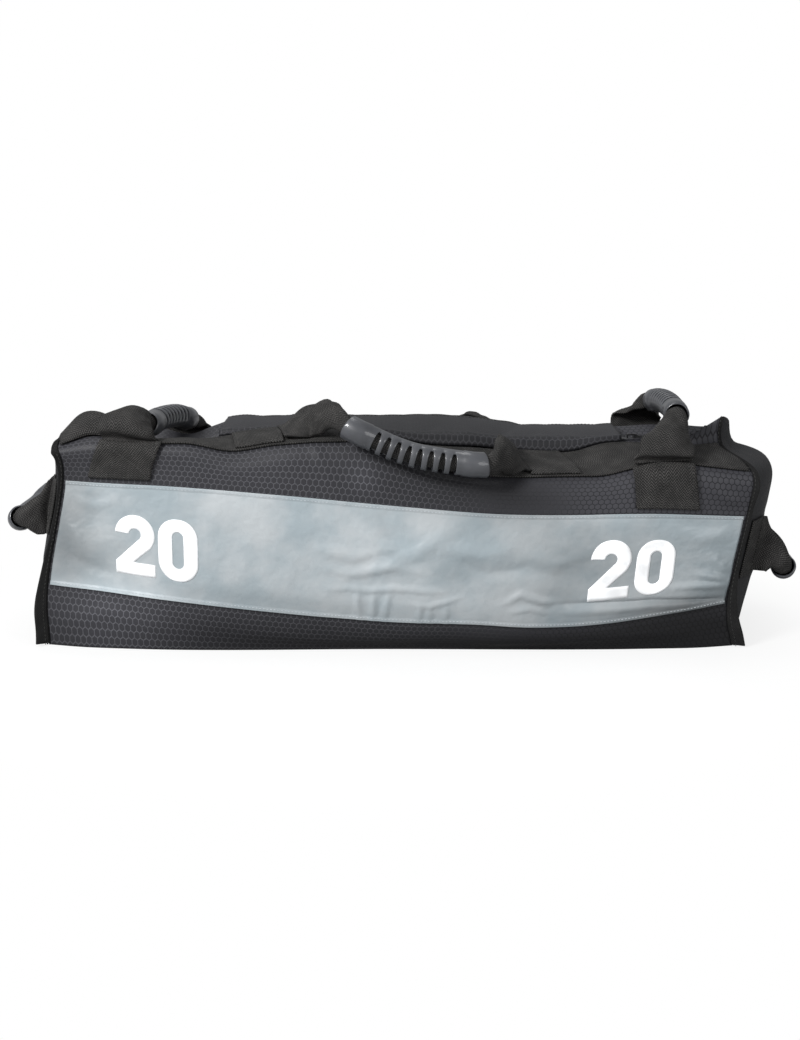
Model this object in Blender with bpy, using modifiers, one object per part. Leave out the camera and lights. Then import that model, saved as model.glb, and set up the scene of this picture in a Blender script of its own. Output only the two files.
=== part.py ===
"""A sandbag trainer: a soft zipped duffel that holds four sand-filled inner bags.

Axes: +X runs along the bag to the right, the front faces -Y and +Z is up.
The origin is the middle of the flat bottom. All sizes are in metres.

The skin is one lattice of points. Its columns run along the bag and its rows follow the seams:
base seam, band's lower edge, band's upper edge, strap's lower edge, strap's upper edge, crest, zip.
Every piece of cloth is a sheet laid on that lattice, and every handle is a strap that curls
from flat webbing at its two sewn tails to the roll that its moulded grip closes round.
"""

import math

import bmesh
import bpy
import numpy as np

BAG_LENGTH = 0.600
BAG_DEPTH = 0.220
BAG_HEIGHT = 0.1855
END_BULGE_LEFT = 0.018
END_BULGE_RIGHT = 0.034

CLOTH = 0.0012
BAND_CLOTH = 0.0008
LAP_GAP = 0.0003
BASE_THICKNESS = 0.0015
BINDING_WIDTH = 0.010
BINDING_THICKNESS = 0.0024
SEAM_MARGIN = 0.004
SEAM_GAP = 0.0008
BINDING_GAP = 0.0002

WEBBING_WIDTH = 0.050
WEBBING_THICKNESS = 0.0016
RIDGE_HEIGHT = 0.022
LONG_STRAP_LIFT = 0.0011
TAIL_LIFT = 0.0033
PATCH_LIFT = 0.0006
ROOT_GAP = 0.0009
ROOT_LEAD = 0.003
LEFT_ROOT_RISE = 0.0030
RIGHT_ROOT_RISE = 0.0018
FOLD_RISE = 0.006

GRIP_LENGTH = 0.122
GRIP_RADIUS = 0.0104
GRIP_WALL = 0.0018
GRIP_CLEARANCE = 0.0003
GRIP_SEAM = 0.0022
CUFF_LENGTH = 0.023
WINDOW_COUNT = 8
WINDOW_WIDTH = 0.0052
CUFF_SWELL = 0.0005

ZIP_LEVEL_SHARE = 0.9083558
ZIP_LEVEL = BAG_HEIGHT * ZIP_LEVEL_SHARE
ZIP_OPENING = 0.024
TAPE_LENGTH_SHARE = 0.8733333
TAPE_LENGTH = BAG_LENGTH * TAPE_LENGTH_SHARE
TAPE_WIDTH = 0.014
TAPE_DROP = 0.0008
TAPE_THICKNESS = 0.0008
TAPE_SPLIT = 0.0046
COIL_WIDTH = 0.0042
COIL_HEIGHT = 0.0026
COIL_SPLIT = 0.0004
COIL_START_SHARE = -0.4033333
COIL_START = BAG_LENGTH * COIL_START_SHARE
STOP_LENGTH = 0.005
STOP_WIDTH = 0.0090
STOP_HEIGHT = 0.0032
END_TAB_LENGTH = 0.024
END_TAB_THICKNESS = 0.0009

SLIDER_PLACE_SHARE = 0.37
SLIDER_PLACE = BAG_LENGTH * SLIDER_PLACE_SHARE
SLIDER_LENGTH = 0.018
SLIDER_WIDTH = 0.0136
SLIDER_PLATE = 0.0012
SLIDER_GAP = 0.0004
SLIDER_BEVEL = 0.0003
NOSE_LENGTH = 0.0034
NOSE_WIDTH = 0.0034
BRIDGE_LENGTH = 0.009
BRIDGE_WIDTH = 0.0032
BRIDGE_HEIGHT = 0.0038
BRIDGE_BAR = 0.0012
PIN_OFFSET = 0.002
PULLER_LENGTH = 0.026
PULLER_WIDTH = 0.008
PULLER_THICKNESS = 0.0016
PULLER_EYE_LENGTH = 0.0036
PULLER_EYE_GAP = 0.0006

FLAP_WIDTH = 0.072
FLAP_THICKNESS = 0.0014
FLAP_GAP = 0.0016
FLAP_HEADROOM = 0.0085
FLAP_CROWN = 0.0012
FLAP_HINGE_RISE = 0.0018
CLOSURE_WIDTH = 0.012
CLOSURE_THICKNESS = 0.0009
CLOSURE_INSET = 0.006

FILLER_COUNT = 4
FILLER_PITCH_SHARE = 0.2383333
FILLER_LENGTH_SHARE = 0.23
FILLER_DEPTH_SHARE = 0.7636364
FILLER_HEIGHT_SHARE = 0.754717
FILLER_PITCH = BAG_LENGTH * FILLER_PITCH_SHARE
FILLER_LENGTH = BAG_LENGTH * FILLER_LENGTH_SHARE
FILLER_DEPTH = BAG_DEPTH * FILLER_DEPTH_SHARE
FILLER_HEIGHT = BAG_HEIGHT * FILLER_HEIGHT_SHARE
FILLER_CLOTH = 0.0010
SAND_GAP = 0.0004

# Heights and half depths of the seams along the bag, as (place along it, value) in shares of
# BAG_LENGTH and of BAG_HEIGHT or half BAG_DEPTH.
BAND_BOTTOM_SHARES = (
    (0, 0.301), (0.058, 0.290), (0.17, 0.252), (0.315, 0.203), (0.515, 0.150),
    (0.63, 0.139), (0.73, 0.126), (0.83, 0.146), (0.92, 0.185), (1, 0.216),
)
BAND_TOP_SHARES = (
    (0, 0.796), (0.17, 0.779), (0.315, 0.746), (0.515, 0.688), (0.63, 0.660),
    (0.74, 0.653), (0.85, 0.655), (1, 0.627),
)
STRAP_LOW_SHARES = (
    (0, 0.947), (0.058, 0.978), (0.11, 0.965), (0.165, 0.966), (0.185, 0.966), (0.253, 0.934),
    (0.318, 0.964), (0.40, 0.980), (0.445, 0.977), (0.49, 0.927), (0.537, 0.862),
    (0.583, 0.830), (0.637, 0.817), (0.75, 0.812), (0.782, 0.817), (0.82, 0.847),
    (0.85, 0.872), (0.945, 0.856), (1, 0.831),
)
STRAP_TILT_SHARES = (
    (0, 0.04), (0.058, 0.06), (0.11, -0.08), (0.165, -0.10), (0.20, -0.06), (0.253, 0.10),
    (0.318, 0.08), (0.445, 0.08), (0.537, 0.24), (0.637, 0.32), (0.688, 0.28), (0.75, 0.22),
    (0.82, 0.26), (0.85, 0.20), (0.945, 0.22), (1, 0.34),
)
CREST_SHARES = (
    (0, 0.947), (0.058, 0.976), (0.125, 0.950), (0.185, 0.920), (0.215, 0.958), (0.245, 0.990),
    (0.30, 0.994), (0.50, 0.994), (0.63, 0.984), (0.688, 0.955), (0.718, 0.930), (0.75, 0.915),
    (0.782, 0.932), (0.82, 0.948), (0.92, 0.957), (1, 0.956),
)
EAR_SHARES = ((0, 0), (0.90, 0), (0.945, 0.008), (0.975, 0.055), (1, 0.098))
BASE_DEPTH_SHARES = (
    (0, 0.77), (0.05, 0.84), (0.12, 0.89), (0.5, 0.90), (0.88, 0.89), (0.95, 0.86), (1, 0.80),
)
LOW_DEPTH_SHARES = (
    (0, 0.79), (0.058, 0.875), (0.17, 0.955), (0.315, 0.985), (0.5, 1.0), (0.73, 1.0),
    (0.83, 0.982), (0.92, 0.93), (1, 0.82),
)
HIGH_DEPTH_SHARES = (
    (0, 0.78), (0.06, 0.86), (0.17, 0.91), (0.315, 0.955), (0.515, 0.98), (0.74, 0.965),
    (0.85, 0.936), (0.94, 0.87), (1, 0.80),
)
STRAP_DEPTH_SHARES = (
    (0, 0.765), (0.058, 0.815), (0.125, 0.845), (0.318, 0.865), (0.637, 0.873), (0.75, 0.847),
    (0.85, 0.836), (0.945, 0.818), (1, 0.773),
)
CREST_DEPTH_SHARE = 0.327
CREST_MARGIN = 0.006

# The back lies plainer than the front: its band is level, and its strap lies below the crest.
BACK_BAND_BOTTOM_SHARE = 0.19
BACK_BAND_TOP_SHARE = 0.68
BACK_STRAP_LOW_SHARES = (
    (0, 0.82), (0.10, 0.81), (0.20, 0.81), (0.32, 0.85), (0.5, 0.86), (0.7, 0.85), (0.85, 0.84), (1, 0.83),
)
BACK_STRAP_TILT_SHARE = 0.24

# Where the end seams stand, row by row, in shares of half BAG_LENGTH.
LEFT_SEAM_SHARES = ((0, 1.0), (1, 0.996), (2, 0.938), (3, 0.950), (4, 0.967), (5, 0.970), (6, 0.967))
RIGHT_SEAM_SHARES = ((0, 1.010), (1, 0.990), (2, 1.036), (3, 1.046), (4, 0.985), (5, 0.988), (6, 0.992))
# How far each row of an end panel bulges, as a share of that end's bulge.
BULGE_SHARES = ((0, 0.34), (1, 0.92), (2, 1.0), (3, 0.86), (4, 0.50), (5, 0.30), (6, 0.05))

# The rows of the lattice, counted in seams from the base, and its columns in shares of the length.
ROW_SHARES = (0, 0.5, 1, 1.33, 1.67, 2, 2.5, 3, 3.5, 4, 4.5, 5, 5.15, 5.6, 6)
BAND_ROWS = (1, 2)
STRAP_ROWS = (3, 4)
CREST_ROW = 5
END_ROW_SHARES = (0, 0.5, 1, 1.33, 1.67, 2, 2.5, 3, 3.5, 4, 5)
FRONT_COLUMN_SHARES = (
    0, 0.04, 0.085, 0.13, 0.165, 0.20, 0.24, 0.31, 0.38, 0.445, 0.49, 0.537, 0.59, 0.645, 0.70,
    0.75, 0.80, 0.848, 0.90, 0.95, 1,
)
BACK_COLUMN_SHARES = (0, 0.085, 0.165, 0.24, 0.38, 0.49, 0.59, 0.70, 0.75, 0.80, 0.848, 0.90, 1)
END_COLUMN_SHARES = (-1, -0.8, -0.5, 0, 0.5, 0.8, 1)
FRONT_ACROSS_SHARES = (0, 0.25, 0.36, 0.5, 0.64, 0.75, 1)
BACK_ACROSS_SHARES = (0, 0.5, 1)
RIDGE_SHARES = (
    (0, 0.06), (0.02, 0.35), (0.05, 0.74), (0.062, 0.68), (0.08, 0.35), (0.10, 0), (0.2, 0), (1, 0),
)
RIDGE_PINCH_SHARE = 0.72

# The handles' middle lines: first leg, grip and last leg. Each point is x, y and z in shares of
# half BAG_LENGTH, half BAG_DEPTH and BAG_HEIGHT, then the way the outer face looks there.
FRONT_HANDLE_SHARES = (
    (
        (-0.267, -0.664, 1.051, -0.45, -0.3, 0.85),
        (-0.22, -0.736, 1.097, -0.3, -0.5, 0.8),
        (-0.173, -0.864, 1.113, 0.05, -0.85, 0.5),
        (-0.137, -0.973, 1.094, 0.15, -1, -0.05),
    ),
    (
        (-0.111, -1.018, 1.065, 0.1, -0.9, -0.3),
        (-0.045, -1.036, 1.015, 0, -0.85, -0.5),
        (0.011, -1.055, 0.975, 0, -0.8, -0.6),
        (0.075, -1.073, 0.941, 0, -0.78, -0.62),
        (0.145, -1.082, 0.921, 0, -0.78, -0.62),
        (0.206, -1.082, 0.907, 0, -0.78, -0.62),
        (0.271, -1.073, 0.897, 0, -0.8, -0.6),
    ),
    (
        (0.3, -1.041, 0.906, 0.1, -0.95, -0.3),
        (0.323, -0.964, 0.927, 0.25, -0.95, 0.1),
        (0.343, -0.845, 0.943, 0.3, -0.7, 0.6),
        (0.363, -0.727, 0.927, 0.25, -0.35, 0.9),
    ),
)
BACK_HANDLE_SHARES = (
    (
        (-0.323, 0.682, 0.951, 0, 0.25, 0.97),
        (-0.29, 0.818, 0.96, 0, 0.4, 0.9),
        (-0.257, 0.964, 0.927, 0, 0.7, 0.7),
        (-0.227, 1.077, 0.852, 0, 0.88, 0.45),
    ),
    (
        (-0.2, 1.105, 0.76, 0, 0.93, 0.38),
        (-0.133, 1.114, 0.725, 0, 0.93, 0.38),
        (-0.067, 1.116, 0.706, 0, 0.93, 0.38),
        (0, 1.118, 0.701, 0, 0.93, 0.38),
        (0.067, 1.116, 0.706, 0, 0.93, 0.38),
        (0.133, 1.114, 0.725, 0, 0.93, 0.38),
        (0.2, 1.105, 0.76, 0, 0.93, 0.38),
    ),
    (
        (0.227, 1.077, 0.852, 0, 0.88, 0.45),
        (0.257, 0.964, 0.927, 0, 0.7, 0.7),
        (0.29, 0.818, 0.96, 0, 0.4, 0.9),
        (0.323, 0.682, 0.951, 0, 0.25, 0.97),
    ),
)
LEFT_HANDLE_SHARES = (
    (
        (-0.743, -0.909, 1.035, 0, -1, 0.15),
        (-0.74, -0.864, 1.086, 0, -0.8, 0.6),
        (-0.73, -0.764, 1.108, 0.05, -0.4, 0.9),
        (-0.717, -0.645, 1.089, 0.1, -0.15, 0.95),
    ),
    (
        (-0.703, -0.555, 1.043, 0.3, -0.1, 0.92),
        (-0.69, -0.273, 1.035, 0.38, 0, 0.92),
        (-0.677, 0, 1.027, 0.4, 0, 0.9),
        (-0.66, 0.273, 1.011, 0.38, 0, 0.9),
        (-0.64, 0.545, 0.976, 0.3, 0.1, 0.92),
    ),
    (
        (-0.64, 0.636, 0.976, 0.15, 0.3, 0.9),
        (-0.65, 0.773, 0.965, 0.05, 0.6, 0.8),
        (-0.663, 0.891, 0.911, 0, 0.9, 0.4),
    ),
)
RIGHT_HANDLE_SHARES = (
    (
        (0.787, -0.918, 0.922, 0, -1, 0.15),
        (0.797, -0.873, 0.981, 0.1, -0.9, 0.4),
        (0.813, -0.782, 1.04, 0.2, -0.6, 0.75),
        (0.828, -0.664, 1.075, 0.25, -0.2, 0.9),
    ),
    (
        (0.837, -0.555, 1.081, 0.3, -0.05, 0.9),
        (0.843, -0.273, 1.091, 0.3, 0, 0.9),
        (0.847, 0, 1.094, 0.3, 0, 0.9),
        (0.845, 0.273, 1.089, 0.3, 0, 0.9),
        (0.838, 0.555, 1.067, 0.3, 0.05, 0.9),
    ),
    (
        (0.83, 0.664, 1.051, 0.2, 0.3, 0.9),
        (0.817, 0.773, 1.013, 0.1, 0.6, 0.75),
        (0.803, 0.864, 0.96, 0.05, 0.9, 0.4),
    ),
)
LEFT_END_HANDLE_SHARES = (
    (
        (-1.0179, -0.6073, 0.6431, -0.9, -0.305, 0.107),
        (-1.0565, -0.6109, 0.6165, -0.9, -0.568, 0.394),
    ),
    (
        (-1.0856, -0.5278, 0.5873, -0.9, -0.003, -0.025),
        (-1.102, -0.273, 0.555, -0.92, -0.05, -0.35),
        (-1.11, 0, 0.547, -0.92, 0, -0.35),
        (-1.102, 0.273, 0.555, -0.92, 0.05, -0.35),
        (-1.0856, 0.5278, 0.5873, -0.9, 0.003, -0.025),
    ),
    (
        (-1.0565, 0.6109, 0.6165, -0.9, 0.568, 0.394),
        (-1.0179, 0.6073, 0.6431, -0.9, 0.305, 0.107),
    ),
)
RIGHT_END_HANDLE_SHARES = (
    (
        (1.133, -0.6, 0.45, 0.9, -0.3, 0),
        (1.157, -0.595, 0.41, 0.9, -0.25, -0.15),
    ),
    (
        (1.17, -0.555, 0.358, 0.9, -0.2, -0.3),
        (1.19, -0.273, 0.329, 0.92, -0.05, -0.35),
        (1.198, 0, 0.318, 0.92, 0, -0.35),
        (1.19, 0.273, 0.329, 0.92, 0.05, -0.35),
        (1.17, 0.555, 0.358, 0.9, 0.2, -0.3),
    ),
    (
        (1.157, 0.595, 0.41, 0.9, 0.25, -0.15),
        (1.133, 0.6, 0.45, 0.9, 0.3, 0),
    ),
)
# Where the handles' sewn tails lie along the bag, as (first, last) in shares of half BAG_LENGTH.
FRONT_TAIL_SHARES = ((-0.447, -0.310), (0.385, 0.525))
BACK_TAIL_SHARES = ((-0.540, -0.360), (0.360, 0.540))
# The cross handles' tails, as (first, last) at their lower edge, then at their upper edge.
LEFT_PATCH_SHARES = (((-0.857, -0.677), (-0.817, -0.640)), ((-0.760, -0.580), (-0.760, -0.580)))
RIGHT_PATCH_SHARES = (((0.705, 0.889), (0.697, 0.870)), ((0.715, 0.890), (0.715, 0.890)))
PATCH_ROW_SHARES = (2.07, 2.97)
TAIL_ROW_SHARES = (3.03, 3.97)
# Where a cross handle folds, between its front root at 0 and its back root at 1.
LEFT_FOLD_SHARE = 0.0
RIGHT_FOLD_SHARE = 0.5
# The end handles' tails, as heights in shares of BAG_HEIGHT and as shares of the end's width.
LEFT_END_TAIL_SHARES = (0.520, 0.785)
RIGHT_END_TAIL_SHARES = (0.325, 0.605)
END_TAIL_WIDTH_SHARES = (0.95, 0.76)

NEAR_SHARE = 0.001
BASE_LINES = 3
PATCH_LINES = 4
LEG_STEPS = 5
GRIP_STEPS = 6
STRAP_SEGMENTS = 6
ROLL_SHARE = 0.94
ROOT_CURL_SHARE = 0.02
ROW_REACH_SHARE = 0.27
COLUMN_REACH_SHARE = 0.073
CURL_POWER = 1.6
GRIP_SEGMENTS = 12
WINDOW_SEGMENTS = 4
WINDOW_TIP_SHARE = 0.45
CUFF_STEP_SHARE = 0.9
ROUTE_SAMPLES = 400
BINDING_ROW_SHARES = (0.03, 0.5, 1, 1.33, 1.67, 2, 2.5, 3)
BINDING_WIDTH_SHARES = ((0, 1.0), (0.8, 0.8), (1.3, 0.32), (3, 0.32))
BINDING_LEAN_SHARE = 0.45
FLAP_COLUMN_SHARES = (0.24, 0.848)
FLAP_ACROSS_SHARES = (-1, -0.5, 0, 0.5, 1)
LOOP_ROW_SHARES = (5.15, 5.6)
FLAP_SEAM_ROW_SHARES = (4.5, 5)
PILLOW_POWER = 4.0
PILLOW_SEGMENTS = 14
PILLOW_RINGS = 9
MOUTH_SHARE = 0.80
SAND_LEVEL_SHARE = 0.66


def clear_scene():
    for thing in list(bpy.data.objects):
        bpy.data.objects.remove(thing, do_unlink=True)


def material(name, colour, roughness, metallic=0.0):
    made = bpy.data.materials.new(name)
    made.use_nodes = True
    shader = made.node_tree.nodes["Principled BSDF"]
    shader.inputs["Base Color"].default_value = (*colour, 1.0)
    shader.inputs["Roughness"].default_value = roughness
    shader.inputs["Metallic"].default_value = metallic
    return made


def smooth(table, place):
    """The value at a place of the smooth curve through a table of (place, value)."""
    places = np.array([row[0] for row in table], float)
    values = np.array([row[1:] for row in table], float)
    slopes = np.gradient(values, places, axis=0)
    left = int(np.clip(np.searchsorted(places, place) - 1, 0, len(places) - 2))
    span = places[left + 1] - places[left]
    t = (place - places[left]) / span
    value = (
        (2 * t**3 - 3 * t**2 + 1) * values[left]
        + (t**3 - 2 * t**2 + t) * span * slopes[left]
        + (3 * t**2 - 2 * t**3) * values[left + 1]
        + (t**3 - t**2) * span * slopes[left + 1]
    )
    return value if len(value) > 1 else float(value[0])


def unit(vector):
    return np.array(vector, float) / np.linalg.norm(vector)


def seam_points(u, side):
    """Depth and height of every seam at a share u of the length. side is -1 in front, 1 behind."""
    half, high = BAG_DEPTH / 2, BAG_HEIGHT
    crest = smooth(CREST_SHARES, u) * high
    strap_depth = smooth(STRAP_DEPTH_SHARES, u) * half
    if side < 0:
        band_low = smooth(BAND_BOTTOM_SHARES, u) * high
        band_top = smooth(BAND_TOP_SHARES, u) * high
        strap_low = smooth(STRAP_LOW_SHARES, u) * high
        tilt = math.asin(smooth(STRAP_TILT_SHARES, u))
        crest += smooth(EAR_SHARES, u) * high
    else:
        band_low = BACK_BAND_BOTTOM_SHARE * high
        band_top = BACK_BAND_TOP_SHARE * high
        tilt = math.asin(BACK_STRAP_TILT_SHARE)
        strap_low = smooth(BACK_STRAP_LOW_SHARES, u) * high
    inner_depth = strap_depth - WEBBING_WIDTH * math.cos(tilt)
    points = (
        (smooth(BASE_DEPTH_SHARES, u) * half, 0.0),
        (smooth(LOW_DEPTH_SHARES, u) * half, band_low),
        (smooth(HIGH_DEPTH_SHARES, u) * half, band_top),
        (strap_depth, strap_low),
        (inner_depth, strap_low + WEBBING_WIDTH * math.sin(tilt)),
        (min(CREST_DEPTH_SHARE * half, inner_depth - CREST_MARGIN), crest),
        (ZIP_OPENING / 2, ZIP_LEVEL),
    )
    return [(row, side * depth, height) for row, (depth, height) in enumerate(points)]


def skin_point(u, row, side):
    depth, height = smooth(seam_points(u, side), row)
    left = -smooth(LEFT_SEAM_SHARES, row) * BAG_LENGTH / 2
    right = smooth(RIGHT_SEAM_SHARES, row) * BAG_LENGTH / 2
    return np.array([left + u * (right - left), depth, max(height, 0.0)])


def end_point(w, row, u, way, bulge):
    """A point of an end panel, at a share w of its width from the front seam to the back seam."""
    front, back = skin_point(u, row, -1), skin_point(u, row, 1)
    point = front * (1 - w) / 2 + back * (1 + w) / 2
    point[0] += way * (CLOTH + SEAM_GAP + bulge * smooth(BULGE_SHARES, row) * (1 - w * w))
    return point


class Lattice:
    """A grid of skin points. A sheet laid on it follows its flat facets, so sheets never cross."""

    def __init__(self, columns, rows, point, outward):
        self.columns, self.rows = np.array(columns, float), np.array(rows, float)
        self.points = np.array([[point(c, r) for r in rows] for c in columns])
        along = np.gradient(self.points, self.columns, axis=0)
        up = np.gradient(self.points, self.rows, axis=1)
        normals = np.cross(along, up) * outward
        self.normals = normals / np.linalg.norm(normals, axis=2, keepdims=True)
        self.flipped = outward < 0

    def at(self, column, row, lift=0.0):
        i = int(np.clip(np.searchsorted(self.columns, column) - 1, 0, len(self.columns) - 2))
        j = int(np.clip(np.searchsorted(self.rows, row) - 1, 0, len(self.rows) - 2))
        a = (column - self.columns[i]) / (self.columns[i + 1] - self.columns[i])
        b = (row - self.rows[j]) / (self.rows[j + 1] - self.rows[j])
        lifted = self.points + self.normals * lift
        low = lifted[i, j] * (1 - a) + lifted[i + 1, j] * a
        high = lifted[i, j + 1] * (1 - a) + lifted[i + 1, j + 1] * a
        return low * (1 - b) + high * b

    def normal(self, column, row):
        return unit(self.at(column, row, 1.0) - self.at(column, row))

    def row_at_height(self, column, height):
        """The row of the wall, below the strap, whose height at this column is the one given."""
        rows = [r for r in self.rows if r <= STRAP_ROWS[0]]
        heights = [self.at(column, r)[2] for r in rows]
        return float(np.interp(height, heights, rows))

    def column_at(self, x, row):
        places = [self.at(c, row)[0] for c in self.columns]
        return float(np.interp(x, places, self.columns))


def lines_between(lines, low, high):
    """The lattice lines strictly between two places, with the two places themselves."""
    return [low, *[line for line in lines if low + NEAR_SHARE < line < high - NEAR_SHARE], high]


def grid_mesh(name, points, flipped=False):
    """A mesh made from Blender's grid, with corner (i, j) moved to points[i][j]."""
    points = np.array(points, float)
    steps_i, steps_j = points.shape[0] - 1, points.shape[1] - 1
    grid = bmesh.new()
    bmesh.ops.create_grid(grid, x_segments=steps_i, y_segments=steps_j, size=1)
    for vert in grid.verts:
        i = round((vert.co.x + 1) / 2 * steps_i)
        j = round((vert.co.y + 1) / 2 * steps_j)
        vert.co = points[i, j]
    if flipped:
        bmesh.ops.reverse_faces(grid, faces=grid.faces)
    return as_mesh(name, grid)


def as_mesh(name, edited):
    mesh = bpy.data.meshes.new(name)
    edited.to_mesh(mesh)
    edited.free()
    return mesh


def add_object(name, mesh, look, collection, parent=None):
    """Links an object that holds this mesh. Points are given in the world, parent or no parent."""
    made = bpy.data.objects.new(name, mesh)
    mesh.materials.append(look)
    collection.objects.link(made)
    if parent is not None:
        made.parent = parent
        made.matrix_parent_inverse = parent.matrix_world.inverted()
    return made


def add_pivot(name, place, collection, parent=None):
    """An empty on a joint's axis, for the pieces that move with that joint."""
    pivot = bpy.data.objects.new(name, None)
    collection.objects.link(pivot)
    pivot.location = place
    if parent is not None:
        pivot.parent = parent
        pivot.matrix_parent_inverse = parent.matrix_world.inverted()
    bpy.context.view_layer.update()
    return pivot


def thicken(made, thickness, offset, even=False):
    solid = made.modifiers.new("thickness", "SOLIDIFY")
    solid.thickness = thickness
    solid.offset = offset
    solid.use_even_offset = even


def sheet(name, points, flipped, thickness, look, collection, outward=True, parent=None):
    """A piece of cloth: an open surface given its thickness, outwards or inwards."""
    made = add_object(name, grid_mesh(name, points, flipped), look, collection, parent)
    thicken(made, thickness, 1 if outward else -1)
    return made


def block(name, low, high, look, collection, parent=None):
    """A plain box between two corners."""
    low, high = np.array(low, float), np.array(high, float)
    box = bmesh.new()
    bmesh.ops.create_cube(box, size=1)
    for vert in box.verts:
        vert.co = (low + high) / 2 + np.array(vert.co) * (high - low)
    return add_object(name, as_mesh(name, box), look, collection, parent)


def make_skin(collection, looks):
    """The front and back panels and the two end panels, with the lattices that they follow."""
    sides = {}
    for name, side, columns in (("front", -1, FRONT_COLUMN_SHARES), ("back", 1, BACK_COLUMN_SHARES)):
        sides[name] = Lattice(columns, ROW_SHARES, lambda u, r, s=side: skin_point(u, r, s), -side)
    for name, u, way, bulge in (("left", 0, -1, END_BULGE_LEFT), ("right", 1, 1, END_BULGE_RIGHT)):
        sides[name] = Lattice(
            END_COLUMN_SHARES, END_ROW_SHARES,
            lambda w, r, u=u, way=way, bulge=bulge: end_point(w, r, u, way, bulge), way,
        )
    for name, lattice in sides.items():
        points = [[lattice.at(c, r) for r in lattice.rows] for c in lattice.columns]
        wide = name in ("front", "back")
        sheet(
            f"{name}_panel" if wide else f"{name}_end_panel",
            points, lattice.flipped, CLOTH, looks["hex" if wide else "plain"], collection, outward=False,
        )
    return sides


def make_base(collection, looks, sides):
    """The flat bottom, cut to the base seam with a gap all round."""
    inset = CLOTH + LAP_GAP
    points = []
    for u in FRONT_COLUMN_SHARES:
        front, back = sides["front"].at(u, 0), sides["back"].at(u, 0)
        x = front[0]
        if u in (0, 1):
            x += inset if u == 0 else -inset
        depths = np.linspace(front[1] + inset, back[1] - inset, BASE_LINES)
        points.append([(x, y, BASE_THICKNESS) for y in depths])
    sheet("base_panel", points, False, BASE_THICKNESS, looks["plain"], collection, outward=False)


def make_overlays(collection, looks, sides):
    """The wide bands and the long straps, the front one folded up into a ridge at the left."""
    edge = SEAM_MARGIN / BAG_LENGTH
    for name, across in (("front", FRONT_ACROSS_SHARES), ("back", BACK_ACROSS_SHARES)):
        lattice = sides[name]
        columns = lines_between(lattice.columns, edge, 1 - edge)
        rows = lines_between(lattice.rows, *BAND_ROWS)
        points = [[lattice.at(c, r, LAP_GAP) for r in rows] for c in columns]
        sheet(f"{name}_band", points, lattice.flipped, BAND_CLOTH, looks["band"], collection)
        points = []
        for u in columns:
            ridge = float(np.clip(smooth(RIDGE_SHARES, u), 0, 1)) if name == "front" else 0.0
            line = []
            for share in across:
                drawn = 0.5 + (share - 0.5) * (1 - RIDGE_PINCH_SHARE * ridge)
                rise = ridge * RIDGE_HEIGHT * math.sin(math.pi * share)
                line.append(lattice.at(u, STRAP_ROWS[0] + drawn, LONG_STRAP_LIFT + rise))
            points.append(line)
        sheet(
            f"{name}_long_strap", points, lattice.flipped, WEBBING_THICKNESS, looks["webbing"], collection
        )


def make_bindings(collection, looks, sides):
    """Bound seam allowances that stand out at the four upright seams."""
    for end, way, u in (("left", -1, 0), ("right", 1, 1)):
        for face, side in (("front", -1), ("back", 1)):
            lattice = sides[face]
            name = f"{end}_{face}_binding"
            out = unit((way, side * BINDING_LEAN_SHARE, 0))
            aside = CLOTH + BINDING_THICKNESS / 2 + BINDING_GAP
            step = np.array([way * aside, side * BINDING_GAP, 0])
            points = []
            for row in BINDING_ROW_SHARES:
                root = lattice.at(u, row) + step
                points.append([root, root + out * BINDING_WIDTH * smooth(BINDING_WIDTH_SHARES, row)])
            made = add_object(name, grid_mesh(name, points), looks["binding"], collection)
            thicken(made, BINDING_THICKNESS, 0)


class Root:
    """Where a handle's free webbing leaves its tail: its place, its sides and its heading."""

    def __init__(self, lattice, column, row, ahead, lift):
        self.point = lattice.at(column, row, lift)
        self.out = lattice.normal(column, row)
        self.way = unit(lattice.at(column + ahead[0], row + ahead[1]) - lattice.at(column, row))
        side = (0, ROW_REACH_SHARE) if ahead[0] else (COLUMN_REACH_SHARE, 0)
        ends = [lattice.at(column + n * side[0], row + n * side[1]) for n in (-1, 1)]
        line = unit(ends[1] - ends[0])
        self.flat = line * np.sign(np.dot(line, np.cross(self.way, self.out)))


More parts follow.
